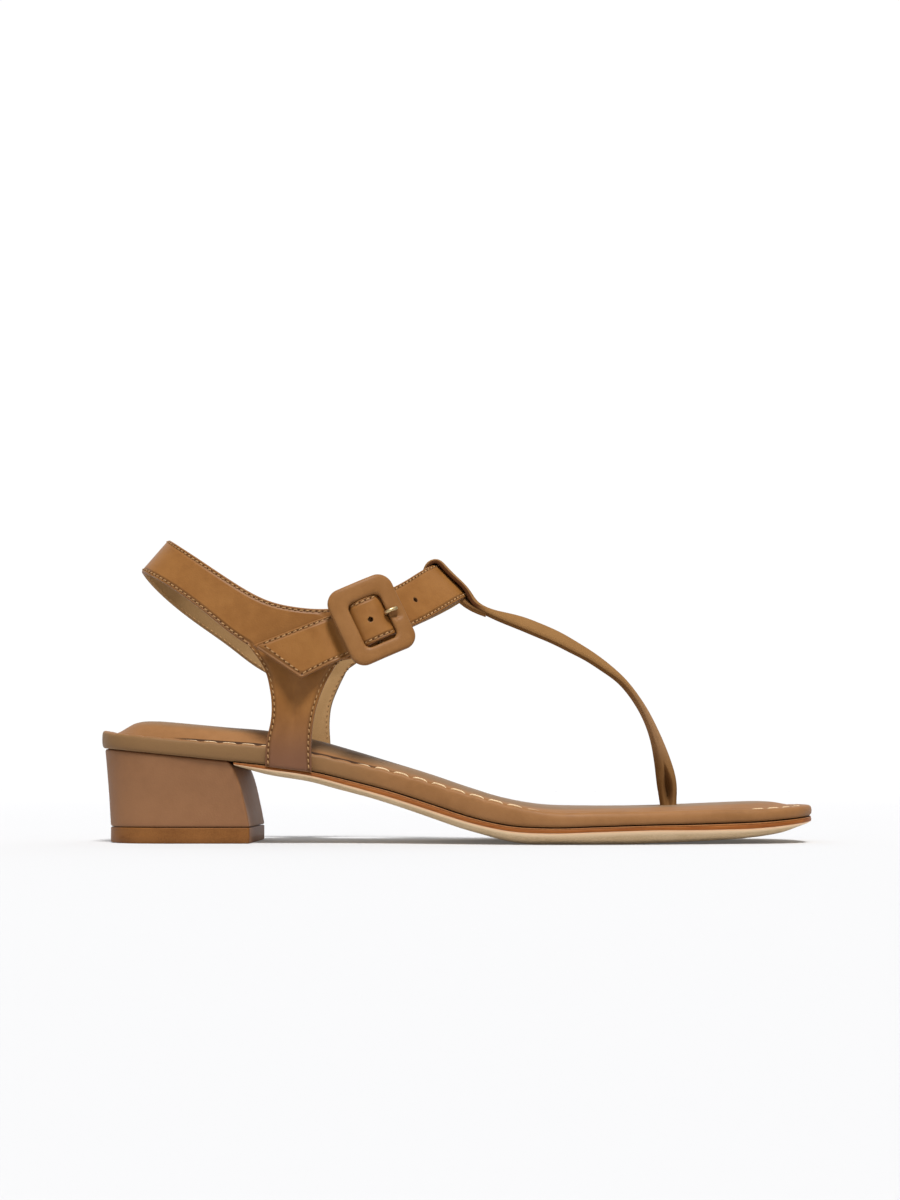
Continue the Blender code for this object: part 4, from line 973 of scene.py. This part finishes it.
def loft_strap(name, rows, slits=()):
    """A thick strap carried along a path as one closed skin.

    Its section is a superellipse of the strap's breadth and thickness, rounder where the strap is thick. It
    is bowed by the crown across the breadth, and pressed in by a slit on the near side of its first rows.
    """
    depths = np.zeros(len(rows))
    depths[:len(slits)] = slits
    rows = np.column_stack([rows, depths])
    line = along(rows, steps_of(rows[:, :3], THONG_STEP))
    path, breadth, thickness, crown, slit = line[:, :3], *(column[:, None] for column in line[:, 3:].T)
    way = unit(np.gradient(path, axis=0))
    side = unit(np.array([0.0, 1.0, 0.0]) - way * way[:, 1:2])
    up = np.cross(side, way)
    angle = full_turn(THONG_AROUND)[None]
    thin = np.clip((THONG_THICK - thickness) / (THONG_THICK - THONG_THIN), 0.0, 1.0)
    power = 2.0 / (THONG_ROUND + THONG_SQUARER * thin)
    c, s = np.cos(angle), np.sin(angle)
    across = breadth / 2 * np.sign(c) * np.abs(c)**power
    rise = thickness / 2 * np.sign(s) * np.abs(s)**power
    opened = np.maximum(slit, 0.0)
    pressed = bell(rise, 0.0, SLIT_REACH * (SLIT_LEAST + opened / SLIT_SPREAD))
    across = across + opened * pressed * (across < 0)
    rise = rise - crown * ((2 * across / breadth)**2 - 0.5)
    grid = path[:, None] + across[..., None] * side[:, None] + rise[..., None] * up[:, None]
    near_edge = np.clip((np.abs(c)**power - CUT_FROM) / CUT_SPAN, 0.0, 1.0) * (c < 0)
    # Painted shade: the thong darker on its underside.
    under = np.clip(UNDERSIDE_SHADE - UNDERSIDE_SHADE_SLOPE * s, 0.0, UNDERSIDE_SHADE_MOST)
    marks = {"second_tone": np.tile(under, (len(path), 1)),
             "cut_edge": near_edge * np.clip((CUT_THICK - thickness) / CUT_FADE, 0.0, 1.0)}
    return put_mesh(name, *skins([grid]), [THONG_LEATHER], marks, close=True, sharp=60)


def make_thong():
    """The thong with its post and the loop over the instep strap, and the loop's end behind the strap."""
    wear(loft_strap("thong_band", THONG, POST_SLIT), "strap_leather", "upper")
    wear(loft_strap("thong_loop_back", LOOP_BACK), "strap_leather")


def strap_at(distance):
    """The strap's point, lengthways, crossways and outward directions, a distance forward of the buckle."""
    run = CURVE[ROW_AT["instep_ridge"]:ROW_AT["free_end"] + 1][::-1]
    length = run_length(run[:, :3])
    start = np.interp(BUCKLE_X, run[:, 0], length)
    places = start + distance + np.array([-DIRECTION_STEP, 0.0, DIRECTION_STEP])
    back, here, front = read_at(places, length, run)
    way = unit(front[:3] - back[:3])
    across = here[6:9] - here[3:6]
    across = unit(across - way * across.dot(way))
    return here[:3], way, across, np.cross(way, across)


def on_buckle(points):
    """Points given along, across and out of the buckle, which is bent to the foot with the strap."""
    seat, way, across, outward = strap_at(0.0)
    bend = np.where(points[:, :1] < 0.0, BUCKLE_BEND_REAR, BUCKLE_BEND)
    out = BUCKLE_RISE + points[:, 2:] - bend * points[:, :1]**2
    return seat + points[:, :1] * way + points[:, 1:2] * across + out * outward


def soft_box(length, breadth, corner):
    """A rectangle with round corners: four arcs joined by straight sides, all in close steps."""
    turn = np.linspace(0.0, math.pi / 2, CORNER_STEPS + 1)
    share = np.linspace(0.0, 1.0, SIDE_STEPS + 1)[1:-1, None]
    arcs = []
    for quarter, (sx, sy) in enumerate(((1, 1), (-1, 1), (-1, -1), (1, -1))):
        angle = turn + quarter * math.pi / 2
        arcs.append(np.column_stack([sx * (length / 2 - corner) + corner * np.cos(angle),
                                     sy * (breadth / 2 - corner) + corner * np.sin(angle)]))
    sides = [arcs[i][-1] * (1 - share) + arcs[(i + 1) % 4][0] * share for i in range(4)]
    return np.vstack([piece for pair in zip(arcs, sides) for piece in pair])


def make_buckle():
    """The covered frame and its bar.

    The frame is a full superellipse carried round between the window's outline and the frame's, with a notch
    where the prong rests. The bar goes from one side of the window under the strap to the other.
    """
    outer = soft_box(BUCKLE_LENGTH, BUCKLE_BREADTH, BUCKLE_CORNER)
    inner = soft_box(WINDOW_LENGTH, WINDOW_BREADTH, WINDOW_CORNER) + (0.0, WINDOW_SHIFT)
    outward, upward = superellipse(full_turn(FRAME_AROUND), FRAME_ROUND)
    share, rise = (0.5 + 0.5 * outward)[:, None, None], (0.5 * BUCKLE_THICK * upward)[:, None, None]
    flat = inner[None] * (1 - share) + outer[None] * share
    verts = np.concatenate([flat, np.broadcast_to(rise, (*flat.shape[:2], 1))], axis=2)
    notch = NOTCH_DEPTH * (verts[..., 2] > 0.0)
    for axis in (0, 1):
        notch = notch * bell(verts[..., axis], NOTCH_AT[axis], NOTCH_REACH[axis])**2
    verts[..., 2] -= notch
    faces = grid_faces(FRAME_AROUND, len(outer), True, True)
    verts = on_buckle(verts.reshape(-1, 3))
    frame_cover = put_mesh("buckle_cover", verts, faces, [BUCKLE_LEATHER], close=True)
    wear(frame_cover, "buckle_leather", "buckle_frame")
    post = WINDOW_BREADTH / 2 + BAR_BEYOND
    depth = BUCKLE_RISE + STRAP_THICK / 2 + BUCKLE_CLEAR + BAR_RADIUS
    down = np.array([(0.0, -post, 0.0), (0.0, -post, BAR_TURN - depth), (0.0, BAR_TURN - post, -depth)])
    corners = np.vstack([down, [(0.0, 0.0, -depth)], down[::-1] * (1.0, -1.0, 1.0)])
    route = along(corners, [BAR_STEPS] * (len(corners) - 1))
    wear(pin("buckle_bar", route, BAR_RADIUS, np.array([1.0, 0.0, 0.0])), "prong_metal")


def pin(name, path, radius, side):
    """A round metal pin along a path given on the buckle, closed at both ends with small domes."""
    way = unit(np.gradient(path, axis=0))
    up = unit(np.cross(way, side))
    angle = full_turn(PIN_AROUND)[None, :, None]
    spread = radius * (np.cos(angle) * np.cross(up, way)[:, None] + np.sin(angle) * up[:, None])

    def dome(place, sign):
        """Rings beyond one end of the path, smaller and smaller down to a point."""
        return np.array([path[place] + sign * way[place] * radius * k + math.sqrt(1 - k * k) * spread[place]
                         for k in PIN_DOME])

    verts, faces = skins([np.concatenate([dome(0, -1.0)[::-1], path[:, None] + spread, dome(-1, 1.0)])])
    return put_mesh(name, on_buckle(verts), faces, [GOLD], close=True)


def make_prong():
    """The prong comes up through the strap's hole and rests on the buckle's front bar."""
    top = BUCKLE_THICK / 2 + PRONG_RADIUS + PRONG_CLEAR
    path = along([(PRONG_AT - 0.1, 0.0, -4.4), (PRONG_AT, 0.0, -1.0), (PRONG_AT + 0.1, 0.0, top - 0.9),
                  (PRONG_AT + 1.1, 0.0, top + 0.1), (PRONG_END, 0.0, top)], [8, 8, 8, 12])
    made = pin("buckle_prong_pin", path, PRONG_RADIUS, np.array([0.0, 1.0, 0.0]))
    wear(made, "prong_metal", "buckle_prong")


def make_stage():
    """A plain white floor, a glowing white backdrop, a dim surround and three lamps.

    The key comes from above and a little from the front right. One above and one on the left fill in.
    """
    edge, one_face = 6000.0, [(0, 1, 2, 3)]
    matt = Finish("white_floor", base_color=(0.58, 0.58, 0.586), roughness=0.9, specular_ior_level=0.0,
                  emission_color=(1.0, 1.0, 1.0), emission_strength=0.07).material
    ground = [(-edge, -edge, 0), (edge, -edge, 0), (edge, edge, 0), (-edge, edge, 0)]
    floor = put_mesh("floor", ground, one_face, [matt])
    world = bpy.data.worlds.new("studio")
    bpy.context.scene.world = world
    world.use_nodes = True
    surround = world.node_tree.nodes["Background"].inputs
    surround["Color"].default_value = (1.0, 1.0, 1.0, 1.0)
    surround["Strength"].default_value = 0.23
    wide, far, low, high = 9000.0, 5000.0, -50.0, 6000.0
    glow = Finish("white_backdrop", base_color=(0.0, 0.0, 0.0), roughness=1.0, specular_ior_level=0.0,
                  emission_color=(1.0, 1.0, 1.0), emission_strength=1.02).material
    wall = [(-wide, far, low), (wide, far, low), (wide, far, high), (-wide, far, high)]
    backdrop = put_mesh("backdrop", wall, one_face, [glow])
    lamps = (  # name, way of the light, softness in degrees, strength
        ("key_right", (-0.10, 0.46, -0.88), 13.0, 3.7), ("soft_top", (0.0, -0.1, -0.99), 100.0, 0.3),
        ("soft_left", (0.55, 0.62, -0.56), 70.0, 0.40))
    for name, way, softness, strength in lamps:
        data = bpy.data.lights.new(name, "SUN")
        data.angle, data.energy = math.radians(softness), strength
        lamp = bpy.data.objects.new(name, data)
        bpy.context.scene.collection.objects.link(lamp)
        lamp.rotation_euler = Vector(way).to_track_quat("-Z", "Y").to_euler()


def make_camera():
    """The camera of the photograph: level, at the outer side, its axis below the middle of the frame."""
    data = bpy.data.cameras.new("camera")
    data.sensor_width = SENSOR
    data.lens = SENSOR * FOCAL_PX / IMAGE_HEIGHT
    data.shift_x = (IMAGE_WIDTH / 2 - AXIS_U) / IMAGE_HEIGHT
    data.shift_y = (AXIS_V - IMAGE_HEIGHT / 2) / IMAGE_HEIGHT
    data.clip_start, data.clip_end = CLIP_NEAR, CLIP_FAR
    camera = bpy.data.objects.new("camera", data)
    bpy.context.scene.collection.objects.link(camera)
    camera.location = (0.0, -CAMERA_BACK * MM, CAMERA_HEIGHT * MM)
    camera.rotation_euler = (math.pi / 2, 0.0, 0.0)
    bpy.context.scene.camera = camera
    bpy.context.scene.view_settings.view_transform = "Standard"


make_camera()
make_stage()
make_footbed()
make_rim_stitches()
make_outsole()
make_heel()
make_lift()
make_straps()
make_strap_stitches()
make_thong()
make_buckle()
make_prong()
